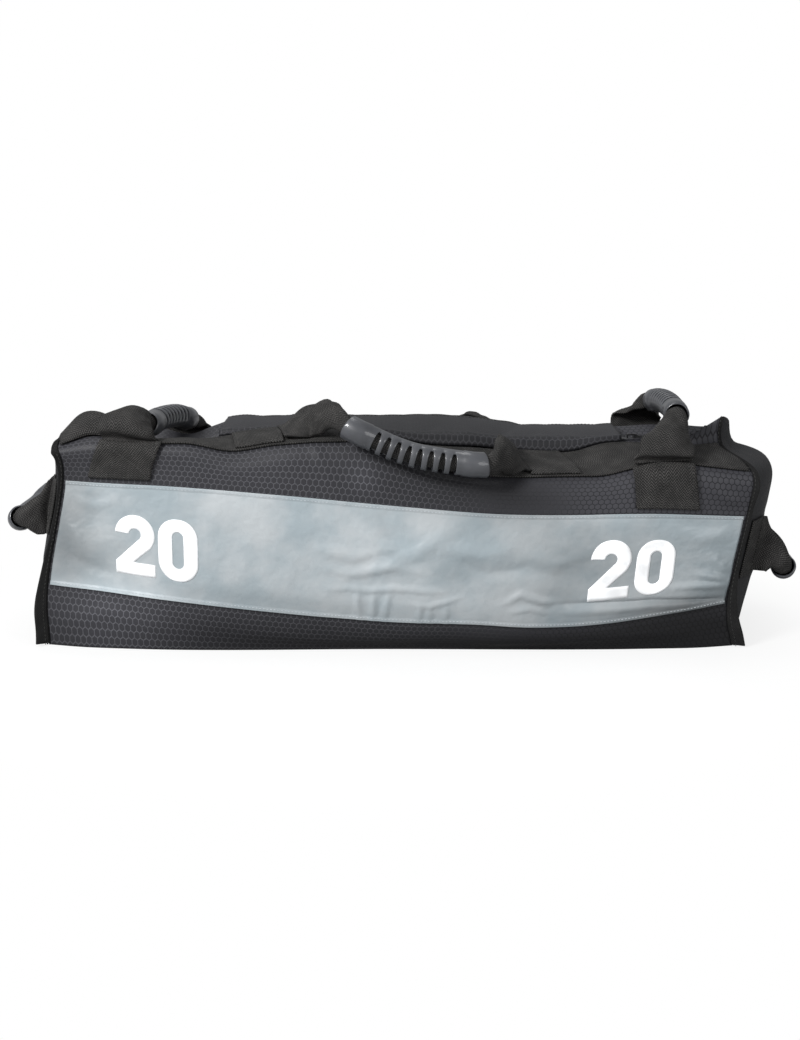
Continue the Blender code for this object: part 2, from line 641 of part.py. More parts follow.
class Route:
    """A handle's middle line, cut into straight steps, with the way its outer face looks."""

    def __init__(self, legs, start, end):
        scale = np.array([BAG_LENGTH / 2, BAG_DEPTH / 2, BAG_HEIGHT])
        rows = [(*start.point, *start.out), (*(start.point + start.way * ROOT_LEAD), *start.out)]
        counts = [len(rows)]
        for leg in legs:
            rows += [(*(np.array(row[:3]) * scale), *row[3:]) for row in leg]
            counts.append(len(rows))
        rows += [(*(end.point - end.way * ROOT_LEAD), *end.out), (*end.point, *end.out)]
        rows = np.array(rows)
        steps = np.linalg.norm(np.diff(rows[:, :3], axis=0), axis=1)
        places = np.concatenate([[0], np.cumsum(steps)])
        table = [(place, *row) for place, row in zip(places, rows)]
        fine = np.linspace(0, places[-1], ROUTE_SAMPLES)
        dense = np.array([smooth(table, place) for place in fine])
        arc = np.concatenate([[0], np.cumsum(np.linalg.norm(np.diff(dense[:, :3], axis=0), axis=1))])
        held = np.interp([places[counts[1]], places[counts[2] - 1]], fine, arc)
        self.length = arc[-1]
        self.start = float(held.mean()) - GRIP_LENGTH / 2
        self.end = self.start + GRIP_LENGTH
        self.places = np.unique(np.concatenate([
            np.linspace(0, self.start, LEG_STEPS + 1),
            np.linspace(self.start, self.end, GRIP_STEPS + 1),
            np.linspace(self.end, self.length, LEG_STEPS + 1),
        ]))
        tracks = np.array([[np.interp(p, arc, dense[:, k]) for k in range(6)] for p in self.places])
        self.middle = tracks[:, :3]
        ways = np.gradient(self.middle, self.places, axis=0)
        first, last = LEG_STEPS, LEG_STEPS + GRIP_STEPS
        frames = {}
        for n in range(first, last + 1):
            way = unit(ways[n])
            out = unit(tracks[n, 3:] - way * np.dot(tracks[n, 3:], way))
            frames[n] = (out, np.cross(way, out))
        for n in [*range(first), *range(last + 1, len(self.places))]:
            root, grip, share = (start, first, n / first) if n < first else (
                end, last, (len(self.places) - 1 - n) / (len(self.places) - 1 - last)
            )
            out = unit(tracks[n, 3:])
            across = root.flat * (1 - share) + frames[grip][1] * share
            frames[n] = (out, unit(across - out * np.dot(across, out)))
        self.out = np.array([frames[n][0] for n in range(len(self.places))])
        self.across = np.array([frames[n][1] for n in range(len(self.places))])

    def frame(self, place):
        """Middle, outward and sideways at a distance along the line, straight between its steps."""
        parts = []
        for track in (self.middle, self.out, self.across):
            parts.append(np.array([np.interp(place, self.places, track[:, k]) for k in range(3)]))
        return parts[0], unit(parts[1]), unit(parts[2])

    def curl(self, place):
        """How far the webbing is rolled up there: 1 in the grip, nearly flat at the tails."""
        if self.start <= place <= self.end:
            return 1.0
        leg = place / self.start if place < self.start else (self.length - place) / (self.length - self.end)
        return ROOT_CURL_SHARE + (1 - ROOT_CURL_SHARE) * leg**CURL_POWER


def roll_radius():
    """Radius of the webbing's middle surface where it is rolled up inside a grip's facets."""
    facet = GRIP_RADIUS * math.cos(math.pi / GRIP_SEGMENTS) - GRIP_WALL - GRIP_CLEARANCE
    return facet - WEBBING_THICKNESS / 2 / math.cos(math.pi * ROLL_SHARE / STRAP_SEGMENTS)


def make_strap(name, route, look, collection, parent):
    """The free webbing of a handle: flat at both ends, rolled to a tube inside the grip."""
    rolled_width = 2 * math.pi * ROLL_SHARE * roll_radius()
    points = []
    for place in route.places:
        middle, out, across = route.frame(place)
        curl = route.curl(place)
        turn = 2 * math.pi * ROLL_SHARE * curl
        radius = (WEBBING_WIDTH * (1 - curl) + rolled_width * curl) / turn
        sink = math.sin(turn / 2) / (turn / 2)
        line = []
        for share in np.linspace(-1, 1, STRAP_SEGMENTS + 1):
            angle = share * turn / 2
            line.append(middle + across * radius * math.sin(angle) + out * radius * (math.cos(angle) - sink))
        points.append(line)
    made = add_object(name, grid_mesh(name, points), look, collection, parent)
    thicken(made, WEBBING_THICKNESS, 0, even=True)


def grip_rings(route):
    """Distances along the line of the grip's rings, each with its window's side: -1, 1 or 0."""
    pitch = (GRIP_LENGTH - 2 * CUFF_LENGTH) / WINDOW_COUNT
    rings = [(route.start, 0), (route.start + CUFF_LENGTH * CUFF_STEP_SHARE, 0)]
    for n in range(WINDOW_COUNT):
        centre = route.start + CUFF_LENGTH + pitch * (n + 0.5)
        rings += [(centre, -1), (centre, 1)]
    rings += [(route.end - CUFF_LENGTH * CUFF_STEP_SHARE, 0), (route.end, 0)]
    return rings


def make_grip(name, route, look, collection, parent):
    """A moulded grip, split along its finger side, with a row of curved windows on its palm side."""
    half_gap = GRIP_SEAM / 2 / GRIP_RADIUS
    angles = np.linspace(-math.pi + half_gap, math.pi - half_gap, GRIP_SEGMENTS + 1)
    window = WINDOW_SEGMENTS // 2
    middle_column = GRIP_SEGMENTS // 2
    rings = grip_rings(route)
    points = []
    for centre, side in rings:
        line = []
        for column, angle in enumerate(angles):
            away = min(abs(column - middle_column) / window, 1.0)
            half = WINDOW_WIDTH / 2 * (1 - (1 - WINDOW_TIP_SHARE) * away**2)
            middle, out, across = route.frame(centre + side * half)
            reach = GRIP_RADIUS + (0.0 if side else CUFF_SWELL)
            line.append(middle + (out * math.cos(angle) + across * math.sin(angle)) * reach)
        points.append(line)
    mesh = grid_mesh(name, points, flipped=True)
    cut_windows(mesh, rings, middle_column, window)
    made = add_object(name, mesh, look, collection, parent)
    thicken(made, GRIP_WALL, -1, even=True)


def cut_windows(mesh, rings, middle_column, window):
    """Takes out the faces between a window's two rings, on the palm side of the grip."""
    grid = bmesh.new()
    grid.from_mesh(mesh)
    open_faces = []
    for index, face in enumerate(grid.faces):
        column, ring = divmod(index, len(rings) - 1)
        if rings[ring][1] == -1 and middle_column - window <= column < middle_column + window:
            open_faces.append(face)
    bmesh.ops.delete(grid, geom=open_faces, context="FACES")
    grid.to_mesh(mesh)
    grid.free()


def make_handle(name, legs, start, end, pivot_place, looks, collection):
    """One handle: a pivot on its hinge line, the free webbing and the moulded grip round it."""
    pivot = add_pivot(f"{name}_pivot", pivot_place, collection)
    route = Route(legs, start, end)
    make_strap(f"{name}_strap", route, looks["webbing"], collection, pivot)
    make_grip(f"{name}_grip", route, looks["rubber"], collection, pivot)


def make_long_handles(collection, looks, sides):
    """The handles along the bag, with their tails sewn on the long straps."""
    half = BAG_LENGTH / 2
    row = sum(STRAP_ROWS) / 2
    root_lift = TAIL_LIFT + WEBBING_THICKNESS / 2
    for name, tails, legs in (
        ("front", FRONT_TAIL_SHARES, FRONT_HANDLE_SHARES), ("back", BACK_TAIL_SHARES, BACK_HANDLE_SHARES)
    ):
        lattice = sides[name]
        across = FRONT_ACROSS_SHARES if name == "front" else BACK_ACROSS_SHARES
        low, high = TAIL_ROW_SHARES
        for where, tail in zip(("left", "right"), tails):
            edges = [lattice.column_at(share * half, row) for share in tail]
            columns = lines_between(lattice.columns, *edges)
            points = [[lattice.at(c, low + (high - low) * s, TAIL_LIFT) for s in across] for c in columns]
            sheet(
                f"{name}_handle_{where}_tail",
                points, lattice.flipped, WEBBING_THICKNESS, looks["webbing"], collection,
            )
        gap = ROOT_GAP / BAG_LENGTH
        first = lattice.column_at(tails[0][1] * half, row) + gap
        last = lattice.column_at(tails[1][0] * half, row) - gap
        start = Root(lattice, first, row, (gap, 0), root_lift)
        end = Root(lattice, last, row, (gap, 0), root_lift)
        middle = (start.point + end.point) / 2
        make_handle(f"{name}_handle", legs, start, end, middle, looks, collection)


def make_cross_handles(collection, looks, sides):
    """The handles across the bag, with their tails sewn on the cloth between band and strap."""
    half = BAG_LENGTH / 2
    low, high = PATCH_ROW_SHARES
    for name, patches, legs, fold in (
        ("left", LEFT_PATCH_SHARES, LEFT_HANDLE_SHARES, LEFT_FOLD_SHARE),
        ("right", RIGHT_PATCH_SHARES, RIGHT_HANDLE_SHARES, RIGHT_FOLD_SHARE),
    ):
        roots = []
        for face, patch in zip(("front", "back"), patches):
            lattice = sides[face]
            points = []
            for share in np.linspace(0, 1, PATCH_LINES):
                line = []
                for row in lines_between(lattice.rows, low, high):
                    t = (row - low) / (high - low)
                    ends = [lower * (1 - t) + upper * t for lower, upper in zip(*patch)]
                    x = (ends[0] * (1 - share) + ends[1] * share) * half
                    lift = PATCH_LIFT * (1 - t**2) + TAIL_LIFT * t**2
                    line.append(lattice.at(lattice.column_at(x, row), row, lift))
                points.append(line)
            sheet(
                f"{name}_cross_handle_{face}_tail",
                points, lattice.flipped, WEBBING_THICKNESS, looks["webbing"], collection,
            )
            column = lattice.column_at(sum(patch[1]) / 2 * half, high)
            step = (1 if face == "front" else -1) * (STRAP_ROWS[0] - high)
            root = Root(lattice, column, high, (0, step), TAIL_LIFT + WEBBING_THICKNESS / 2)
            root.point = root.point + np.array([0, 0, ROOT_GAP])
            roots.append(root)
        hinge = roots[0].point * (1 - fold) + roots[1].point * fold
        hinge = np.array([hinge[0], 0, hinge[2] + FOLD_RISE])
        make_handle(f"{name}_cross_handle", legs, *roots, hinge, looks, collection)


def make_end_handles(collection, looks, sides):
    """The handles on the two ends, with their tails sewn on the end panels."""
    outer, inner = END_TAIL_WIDTH_SHARES
    for name, heights, legs, rise in (
        ("left", LEFT_END_TAIL_SHARES, LEFT_END_HANDLE_SHARES, LEFT_ROOT_RISE),
        ("right", RIGHT_END_TAIL_SHARES, RIGHT_END_HANDLE_SHARES, RIGHT_ROOT_RISE),
    ):
        lattice = sides[name]
        roots = []
        for face, side in (("front", -1), ("back", 1)):
            edges = sorted((side * outer, side * inner))
            low, high = (lattice.row_at_height(side * inner, share * BAG_HEIGHT) for share in heights)
            rows = lines_between(lattice.rows, low, high)
            columns = lines_between(lattice.columns, *edges)
            points = [[lattice.at(c, r, PATCH_LIFT) for r in rows] for c in columns]
            sheet(
                f"{name}_end_handle_{face}_tail",
                points, lattice.flipped, WEBBING_THICKNESS, looks["webbing"], collection,
            )
            gap = ROOT_GAP / BAG_DEPTH * 2
            lift = PATCH_LIFT + WEBBING_THICKNESS / 2 + rise
            level = lattice.row_at_height(side * inner, sum(heights) / 2 * BAG_HEIGHT)
            roots.append(Root(lattice, side * (inner - gap), level, (gap, 0), lift))
        middle = (roots[0].point + roots[1].point) / 2
        make_handle(f"{name}_end_handle", legs, *roots, middle, looks, collection)


def make_zip(collection, looks):
    """Two tapes, two halves of the coil, a stop and a fabric tab at each end."""
    tape_top = ZIP_LEVEL - CLOTH - TAPE_DROP
    coil_foot = tape_top + LAP_GAP
    coil_end = SLIDER_PLACE + SLIDER_LENGTH / 2 - NOSE_LENGTH - SLIDER_GAP
    for name, side in (("front", -1), ("back", 1)):
        near, far = sorted((side * TAPE_SPLIT / 2, side * (TAPE_SPLIT / 2 + TAPE_WIDTH)))
        block(
            f"zip_tape_{name}", (-TAPE_LENGTH / 2, near, tape_top - TAPE_THICKNESS),
            (TAPE_LENGTH / 2, far, tape_top), looks["tape"], collection,
        )
        near, far = sorted((side * COIL_SPLIT / 2, side * (COIL_SPLIT / 2 + COIL_WIDTH)))
        block(
            f"zip_coil_{name}", (COIL_START, near, coil_foot), (coil_end, far, coil_foot + COIL_HEIGHT),
            looks["coil"], collection,
        )
    ends = (
        ("left", COIL_START - LAP_GAP, -1), ("right", SLIDER_PLACE + SLIDER_LENGTH / 2 + LAP_GAP, 1),
    )
    for name, x, way in ends:
        far = x + way * STOP_LENGTH
        block(
            f"zip_stop_{name}", (min(x, far), -STOP_WIDTH / 2, coil_foot),
            (max(x, far), STOP_WIDTH / 2, coil_foot + STOP_HEIGHT), looks["steel"], collection,
        )
        near = far + way * LAP_GAP
        far = near + way * END_TAB_LENGTH
        block(
            f"zip_end_tab_{name}", (min(near, far), -(ZIP_OPENING / 2 - CLOTH), coil_foot),
            (max(near, far), ZIP_OPENING / 2 - CLOTH, coil_foot + END_TAB_THICKNESS),
            looks["plain"], collection,
        )


def make_slider(collection, looks):
    """The zip's slider, one cast piece, and the puller that hangs in its bridge."""
    cutters = bpy.data.collections.new("cutters")
    bpy.context.scene.collection.children.link(cutters)
    tape_top = ZIP_LEVEL - CLOTH - TAPE_DROP
    under = tape_top - TAPE_THICKNESS - SLIDER_GAP
    over = tape_top + LAP_GAP + COIL_HEIGHT + SLIDER_GAP
    deck = over + SLIDER_PLATE
    half, wide = SLIDER_LENGTH / 2, SLIDER_WIDTH / 2
    nose = half - NOSE_LENGTH
    pivot = add_pivot("zip_slider_pivot", (SLIDER_PLACE, 0, ZIP_LEVEL), collection)
    x = SLIDER_PLACE
    slider = block(
        "zip_slider", (x - half, -wide, over), (x + half, wide, deck), looks["steel"], collection, pivot
    )
    bevel = slider.modifiers.new("rounded", "BEVEL")
    bevel.width = SLIDER_BEVEL
    bevel.segments = 1
    inside = SLIDER_PLATE / 2
    bridge, slim = BRIDGE_LENGTH / 2, BRIDGE_WIDTH / 2
    pieces = (
        ("lower_plate", "UNION", (x - half, -wide, under - SLIDER_PLATE), (x + half, wide, under)),
        (
            "nose", "UNION", (x + nose, -NOSE_WIDTH / 2, under - inside),
            (x + half - SLIDER_PLATE, NOSE_WIDTH / 2, over + inside),
        ),
        ("bridge", "UNION", (x - bridge, -slim, over + inside), (x + bridge, slim, deck + BRIDGE_HEIGHT)),
        (
            "bridge_hole", "DIFFERENCE", (x - bridge + BRIDGE_BAR, -wide, deck),
            (x + bridge - BRIDGE_BAR, wide, deck + BRIDGE_HEIGHT - BRIDGE_BAR),
        ),
    )
    for name, operation, low, high in pieces:
        helper = block(f"slider_{name}", low, high, looks["steel"], cutters, pivot)
        helper.hide_render = True
        helper.display_type = "WIRE"
        joined = slider.modifiers.new(name, "BOOLEAN")
        joined.operation = operation
        joined.solver = "EXACT"
        joined.object = helper
    pin_height = deck + (BRIDGE_HEIGHT - BRIDGE_BAR) / 2
    pin = add_pivot("zip_puller_pivot", (x + PIN_OFFSET, 0, pin_height), collection, pivot)
    reach = PULLER_THICKNESS / 2
    left = x + PIN_OFFSET - reach
    puller = block(
        "zip_puller", (left, -PULLER_WIDTH / 2, pin_height - reach),
        (left + PULLER_LENGTH, PULLER_WIDTH / 2, pin_height + reach), looks["steel"], collection, pin,
    )
    eye_wide = BRIDGE_WIDTH / 2 + PULLER_EYE_GAP
    eye = block(
        "puller_eye", (left + PULLER_THICKNESS, -eye_wide, pin_height - PULLER_THICKNESS),
        (left + PULLER_THICKNESS + PULLER_EYE_LENGTH, eye_wide, pin_height + PULLER_THICKNESS),
        looks["steel"], cutters, pin,
    )
    eye.hide_render = True
    eye.display_type = "WIRE"
    cut = puller.modifiers.new("eye", "BOOLEAN")
    cut.operation = "DIFFERENCE"
    cut.solver = "EXACT"
    cut.object = eye


def make_flap(collection, looks, sides):
    """The flap over the zip, the strip that sews it to the back, and its hook and loop strips."""
    front, back = sides["front"], sides["back"]
    columns = lines_between(front.columns, *FLAP_COLUMN_SHARES)
    half = FLAP_WIDTH / 2
    tops = [max(front.at(u, CREST_ROW)[2], back.at(u, CREST_ROW)[2]) for u in columns]
    middle = sum(front.at(u, CREST_ROW)[0] for u in FLAP_COLUMN_SHARES) / 2
    hinge = np.array([middle, half, max(tops) + FLAP_HINGE_RISE])
    pivot = add_pivot("zip_flap_pivot", hinge, collection)

    def flap_point(u, share, drop=0.0):
        near, far = front.at(u, CREST_ROW), back.at(u, CREST_ROW)
        height = near[2] * (1 - share) / 2 + far[2] * (1 + share) / 2 + FLAP_GAP
        height = max(height, ZIP_LEVEL + FLAP_HEADROOM) + FLAP_CROWN * (1 - share * share)
        return near[0], share * half, height - drop

    points = [[flap_point(u, share) for share in FLAP_ACROSS_SHARES] for u in columns]
    sheet("zip_flap", points, False, FLAP_THICKNESS, looks["hex"], collection, parent=pivot)
    inset = CLOSURE_INSET / half
    hook = (-1 + inset, -1 + inset + CLOSURE_WIDTH / half)
    rows = lines_between(FLAP_ACROSS_SHARES, *hook)
    points = [[flap_point(u, share, LAP_GAP) for share in rows] for u in columns]
    sheet(
        "flap_hook_strip", points, False, CLOSURE_THICKNESS, looks["closure"], collection,
        outward=False, parent=pivot,
    )
    for name, lattice, span in (
        ("flap_loop_strip", front, LOOP_ROW_SHARES), ("flap_seam_strip", back, FLAP_SEAM_ROW_SHARES)
    ):
        columns = lines_between(lattice.columns, *FLAP_COLUMN_SHARES)
        points = [[lattice.at(c, r, LAP_GAP) for r in span] for c in columns]
        sheet(name, points, lattice.flipped, CLOSURE_THICKNESS, looks["closure"], collection)


def pillow(half_sizes, centre):
    """A sphere drawn out to a soft box."""
    ball = bmesh.new()
    bmesh.ops.create_uvsphere(ball, u_segments=PILLOW_SEGMENTS, v_segments=PILLOW_RINGS, radius=1)
    for vert in ball.verts:
        way = np.array(vert.co)
        way = way / (np.abs(way) ** PILLOW_POWER).sum() ** (1 / PILLOW_POWER)
        vert.co = np.array(centre) + way * np.array(half_sizes)
    return ball


def make_fillers(collection, looks):
    """The four inner bags, each open at its neck, and the sand that fills them."""
    half = np.array([FILLER_LENGTH, FILLER_DEPTH, FILLER_HEIGHT]) / 2
    foot = BASE_THICKNESS + LAP_GAP
    for n in range(FILLER_COUNT):
        x = FILLER_PITCH * (n - (FILLER_COUNT - 1) / 2)
        centre = np.array([x, 0, foot + half[2]])
        shell = pillow(half, centre)
        mouth = foot + FILLER_HEIGHT * MOUTH_SHARE
        above = [face for face in shell.faces if face.calc_center_median().z > mouth]
        bmesh.ops.delete(shell, geom=above, context="FACES")
        name = f"filler_bag_{n + 1}"
        made = add_object(name, as_mesh(name, shell), looks["filler"], collection)
        thicken(made, FILLER_CLOTH, -1)
        sand = pillow(half - FILLER_CLOTH - SAND_GAP, centre)
        level = foot + FILLER_HEIGHT * SAND_LEVEL_SHARE
        for vert in sand.verts:
            vert.co.z = min(vert.co.z, level)
        name = f"sand_fill_{n + 1}"
        add_object(name, as_mesh(name, sand), looks["sand"], collection)


def main():
    clear_scene()
    collection = bpy.data.collections.new("sandbag_trainer")
    bpy.context.scene.collection.children.link(collection)
    looks = {
        "hex": material("hex_cloth", (0.045, 0.045, 0.052), 0.62),
        "plain": material("plain_cloth", (0.022, 0.022, 0.025), 0.70),
        "band": material("grey_band", (0.33, 0.37, 0.39), 0.45),
        "webbing": material("webbing", (0.018, 0.017, 0.017), 0.80),
        "binding": material("binding", (0.015, 0.015, 0.016), 0.75),
        "rubber": material("grip_rubber", (0.035, 0.036, 0.040), 0.42),
        "tape": material("zip_tape", (0.018, 0.018, 0.020), 0.80),
        "coil": material("zip_coil", (0.030, 0.030, 0.032), 0.35),
        "steel": material("coated_steel", (0.06, 0.06, 0.065), 0.32, 0.9),
        "closure": material("hook_and_loop", (0.012, 0.012, 0.013), 0.90),
        "filler": material("filler_cloth", (0.10, 0.10, 0.11), 0.75),
        "sand": material("sand", (0.48, 0.38, 0.24), 0.95),
    }
    sides = make_skin(collection, looks)
    make_base(collection, looks, sides)
    make_overlays(collection, looks, sides)
    make_bindings(collection, looks, sides)
    make_long_handles(collection, looks, sides)
    make_cross_handles(collection, looks, sides)
    make_end_handles(collection, looks, sides)
    make_zip(collection, looks)
    make_slider(collection, looks)
    make_flap(collection, looks, sides)
    make_fillers(collection, looks)


main()
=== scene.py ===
# %% [markdown]
# # A sandbag trainer
# The real object is a short, heavy duffel: woven cloth panels sewn round four sand-filled inner
# bags, a satin band along the front, flat webbing sewn on it, and six handles of webbing that
# runs through moulded grips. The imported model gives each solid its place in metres. This script
# lays cloth, webbing, grips, thread and a zip over those places, and gives each its finish.

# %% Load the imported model
import math

import bmesh
import bpy
import numpy as np
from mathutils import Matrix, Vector


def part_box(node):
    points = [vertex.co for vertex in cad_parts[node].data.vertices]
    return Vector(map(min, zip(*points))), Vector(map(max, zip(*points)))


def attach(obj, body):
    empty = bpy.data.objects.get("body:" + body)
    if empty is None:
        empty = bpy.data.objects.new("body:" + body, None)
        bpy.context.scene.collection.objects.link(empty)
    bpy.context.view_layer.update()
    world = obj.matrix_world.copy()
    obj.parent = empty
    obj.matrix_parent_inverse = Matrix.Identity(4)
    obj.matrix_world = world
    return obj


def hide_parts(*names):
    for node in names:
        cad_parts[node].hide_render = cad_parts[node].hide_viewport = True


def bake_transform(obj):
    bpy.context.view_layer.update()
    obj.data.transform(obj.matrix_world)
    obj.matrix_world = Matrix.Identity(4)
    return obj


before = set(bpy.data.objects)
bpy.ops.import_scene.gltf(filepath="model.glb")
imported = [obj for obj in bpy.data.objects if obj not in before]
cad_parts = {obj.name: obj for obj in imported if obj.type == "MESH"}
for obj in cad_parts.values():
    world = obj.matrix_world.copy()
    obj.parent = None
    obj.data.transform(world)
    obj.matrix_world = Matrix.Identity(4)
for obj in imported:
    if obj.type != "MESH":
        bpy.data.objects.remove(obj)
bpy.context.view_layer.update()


def add_object(name, data):
    """A new object in the scene."""
    made = bpy.data.objects.new(name, data)
    bpy.context.scene.collection.objects.link(made)
    return made

# %% [markdown]
# ## The camera
# The picture was taken from a little above, with a fairly long lens. The height, the distance and
# the lens are estimates. The lens is given in pixels, for a frame of 800 by 1040, and the height is
# the side that is fitted.

# %% Place the camera
FRAME_HEIGHT, FOCAL_PIXELS, SENSOR = 1040, 1459, 36.0
AIM, ELEVATION, DISTANCE = np.array([0.010, -0.100, 0.1155]), math.radians(12), 1.25

lens = bpy.data.cameras.new("view")
lens.sensor_fit = "VERTICAL"
lens.sensor_height = SENSOR
lens.lens = FOCAL_PIXELS * SENSOR / FRAME_HEIGHT
camera = add_object("view", lens)
camera.location = AIM + DISTANCE * np.array([0, -math.cos(ELEVATION), math.sin(ELEVATION)])
camera.rotation_euler = (math.pi / 2 - ELEVATION, 0, 0)
bpy.context.scene.camera = camera
print("lens", round(lens.lens, 1), "mm at", [round(v, 3) for v in camera.location])

# %% [markdown]
# ## The shape of the skin
# A filled bag has no plain shape. Its seams can be measured, though: the base seam, both edges of
# the band, both edges of the long strap, the crest and the zip. Each seam is a table of a few
# places along the bag, and a smooth curve runs through each table. The same tables shaped the
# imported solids, so what is laid on this skin lies where they do.

# %% The measured seams
BAG_LENGTH, BAG_DEPTH, BAG_HEIGHT = 0.600, 0.220, 0.1855
CLOTH, SEAM_GAP, LAP, BAND_CLOTH, THIN_CLOTH = 0.0012, 0.0008, 0.0003, 0.0008, 0.0009
WEBBING_WIDTH, WEBBING = 0.050, 0.0016
OPENING_HALF, ZIP_LEVEL = 0.012, 0.1685
# Heights and half depths of the seams along the bag, as (place along it, value) in shares of
# BAG_LENGTH and of BAG_HEIGHT or half BAG_DEPTH.
BAND_BOTTOM_SHARES = (
    (0, 0.301), (0.058, 0.29), (0.17, 0.252), (0.315, 0.203), (0.515, 0.15), (0.63, 0.139), (0.73, 0.126),
    (0.83, 0.146), (0.92, 0.185), (1, 0.216),
)
BAND_TOP_SHARES = (
    (0, 0.796), (0.17, 0.779), (0.315, 0.746), (0.515, 0.688), (0.63, 0.66), (0.74, 0.653), (0.85, 0.655),
    (1, 0.627),
)
STRAP_LOW_SHARES = (
    (0, 0.947), (0.058, 0.978), (0.11, 0.965), (0.165, 0.966), (0.185, 0.966), (0.253, 0.934),
    (0.318, 0.964), (0.4, 0.98), (0.445, 0.977), (0.49, 0.927), (0.537, 0.862), (0.583, 0.83),
    (0.637, 0.817), (0.75, 0.812), (0.782, 0.817), (0.82, 0.847), (0.85, 0.872), (0.945, 0.856),
    (1, 0.831),
)
STRAP_TILT_SHARES = (
    (0, 0.04), (0.058, 0.06), (0.11, -0.08), (0.165, -0.1), (0.2, -0.06), (0.253, 0.1), (0.318, 0.08),
    (0.445, 0.08), (0.537, 0.24), (0.637, 0.32), (0.688, 0.28), (0.75, 0.22), (0.82, 0.26), (0.85, 0.2),
    (0.945, 0.22), (1, 0.34),
)
CREST_SHARES = (
    (0, 0.947), (0.058, 0.976), (0.125, 0.95), (0.185, 0.92), (0.215, 0.958), (0.245, 0.99), (0.3, 0.994),
    (0.5, 0.994), (0.63, 0.984), (0.688, 0.955), (0.718, 0.93), (0.75, 0.915), (0.782, 0.932),
    (0.82, 0.948), (0.92, 0.957), (1, 0.956),
)
EAR_SHARES = ((0, 0), (0.90, 0), (0.945, 0.008), (0.975, 0.055), (1, 0.098))
BASE_DEPTH_SHARES = (
    (0, 0.77), (0.05, 0.84), (0.12, 0.89), (0.5, 0.9), (0.88, 0.89), (0.95, 0.86), (1, 0.8),
)
LOW_DEPTH_SHARES = (
    (0, 0.79), (0.058, 0.875), (0.17, 0.955), (0.315, 0.985), (0.5, 1.0), (0.73, 1.0), (0.83, 0.982),
    (0.92, 0.93), (1, 0.82),
)
HIGH_DEPTH_SHARES = (
    (0, 0.78), (0.06, 0.86), (0.17, 0.91), (0.315, 0.955), (0.515, 0.98), (0.74, 0.965), (0.85, 0.936),
    (0.94, 0.87), (1, 0.8),
)
STRAP_DEPTH_SHARES = (
    (0, 0.765), (0.058, 0.815), (0.125, 0.845), (0.318, 0.865), (0.637, 0.873), (0.75, 0.847),
    (0.85, 0.836), (0.945, 0.818), (1, 0.773),
)
CREST_DEPTH_SHARE = 0.327
CREST_MARGIN = 0.006

# The back lies plainer than the front: its band is level, and its strap lies below the crest.
BACK_BAND_BOTTOM_SHARE = 0.19
BACK_BAND_TOP_SHARE = 0.68
BACK_STRAP_LOW_SHARES = (
    (0, 0.82), (0.1, 0.81), (0.2, 0.81), (0.32, 0.85), (0.5, 0.86), (0.7, 0.85), (0.85, 0.84), (1, 0.83),
)
BACK_STRAP_TILT_SHARE = 0.24

# Where the end seams stand, row by row, in shares of half BAG_LENGTH.
LEFT_SEAM_SHARES = ((0, 1.0), (1, 0.996), (2, 0.938), (3, 0.950), (4, 0.967), (5, 0.970), (6, 0.967))
RIGHT_SEAM_SHARES = ((0, 1.010), (1, 0.990), (2, 1.036), (3, 1.046), (4, 0.985), (5, 0.988), (6, 0.992))
# How far each row of an end panel bulges, as a share of that end's bulge.
BULGE_SHARES = ((0, 0.34), (1, 0.92), (2, 1.0), (3, 0.86), (4, 0.50), (5, 0.30), (6, 0.05))

RIDGE_SHARES = (
    (0, 0.06), (0.02, 0.35), (0.05, 0.74), (0.062, 0.68), (0.08, 0.35), (0.1, 0), (0.2, 0), (1, 0),
)

# The handles' middle lines: first leg, grip and last leg. Each point is x, y and z in shares of
# half BAG_LENGTH, half BAG_DEPTH and BAG_HEIGHT, then the way the outer face looks there.
FRONT_HANDLE_SHARES = (
    (
        (-0.267, -0.664, 1.051, -0.45, -0.3, 0.85), (-0.22, -0.736, 1.097, -0.3, -0.5, 0.8),
        (-0.173, -0.864, 1.113, 0.05, -0.85, 0.5), (-0.137, -0.973, 1.094, 0.15, -1, -0.05),
    ),
    (
        (-0.111, -1.018, 1.065, 0.1, -0.9, -0.3), (-0.045, -1.036, 1.015, 0, -0.85, -0.5),
        (0.011, -1.055, 0.975, 0, -0.8, -0.6), (0.075, -1.073, 0.941, 0, -0.78, -0.62),
        (0.145, -1.082, 0.921, 0, -0.78, -0.62), (0.206, -1.082, 0.907, 0, -0.78, -0.62),
        (0.271, -1.073, 0.897, 0, -0.8, -0.6),
    ),
    (
        (0.3, -1.041, 0.906, 0.1, -0.95, -0.3), (0.323, -0.964, 0.927, 0.25, -0.95, 0.1),
        (0.343, -0.845, 0.943, 0.3, -0.7, 0.6), (0.363, -0.727, 0.927, 0.25, -0.35, 0.9),
    ),
)


def mirrored(leg, half_grip, axis):
    """Legs and grip of a handle whose second half mirrors its first, in x (axis 0) or in y (axis 1)."""
    def turned(row):
        return tuple(-v if k in (axis, axis + 3) else v for k, v in enumerate(row))
    return leg, (*half_grip, *map(turned, half_grip[-2::-1])), tuple(map(turned, leg[::-1]))


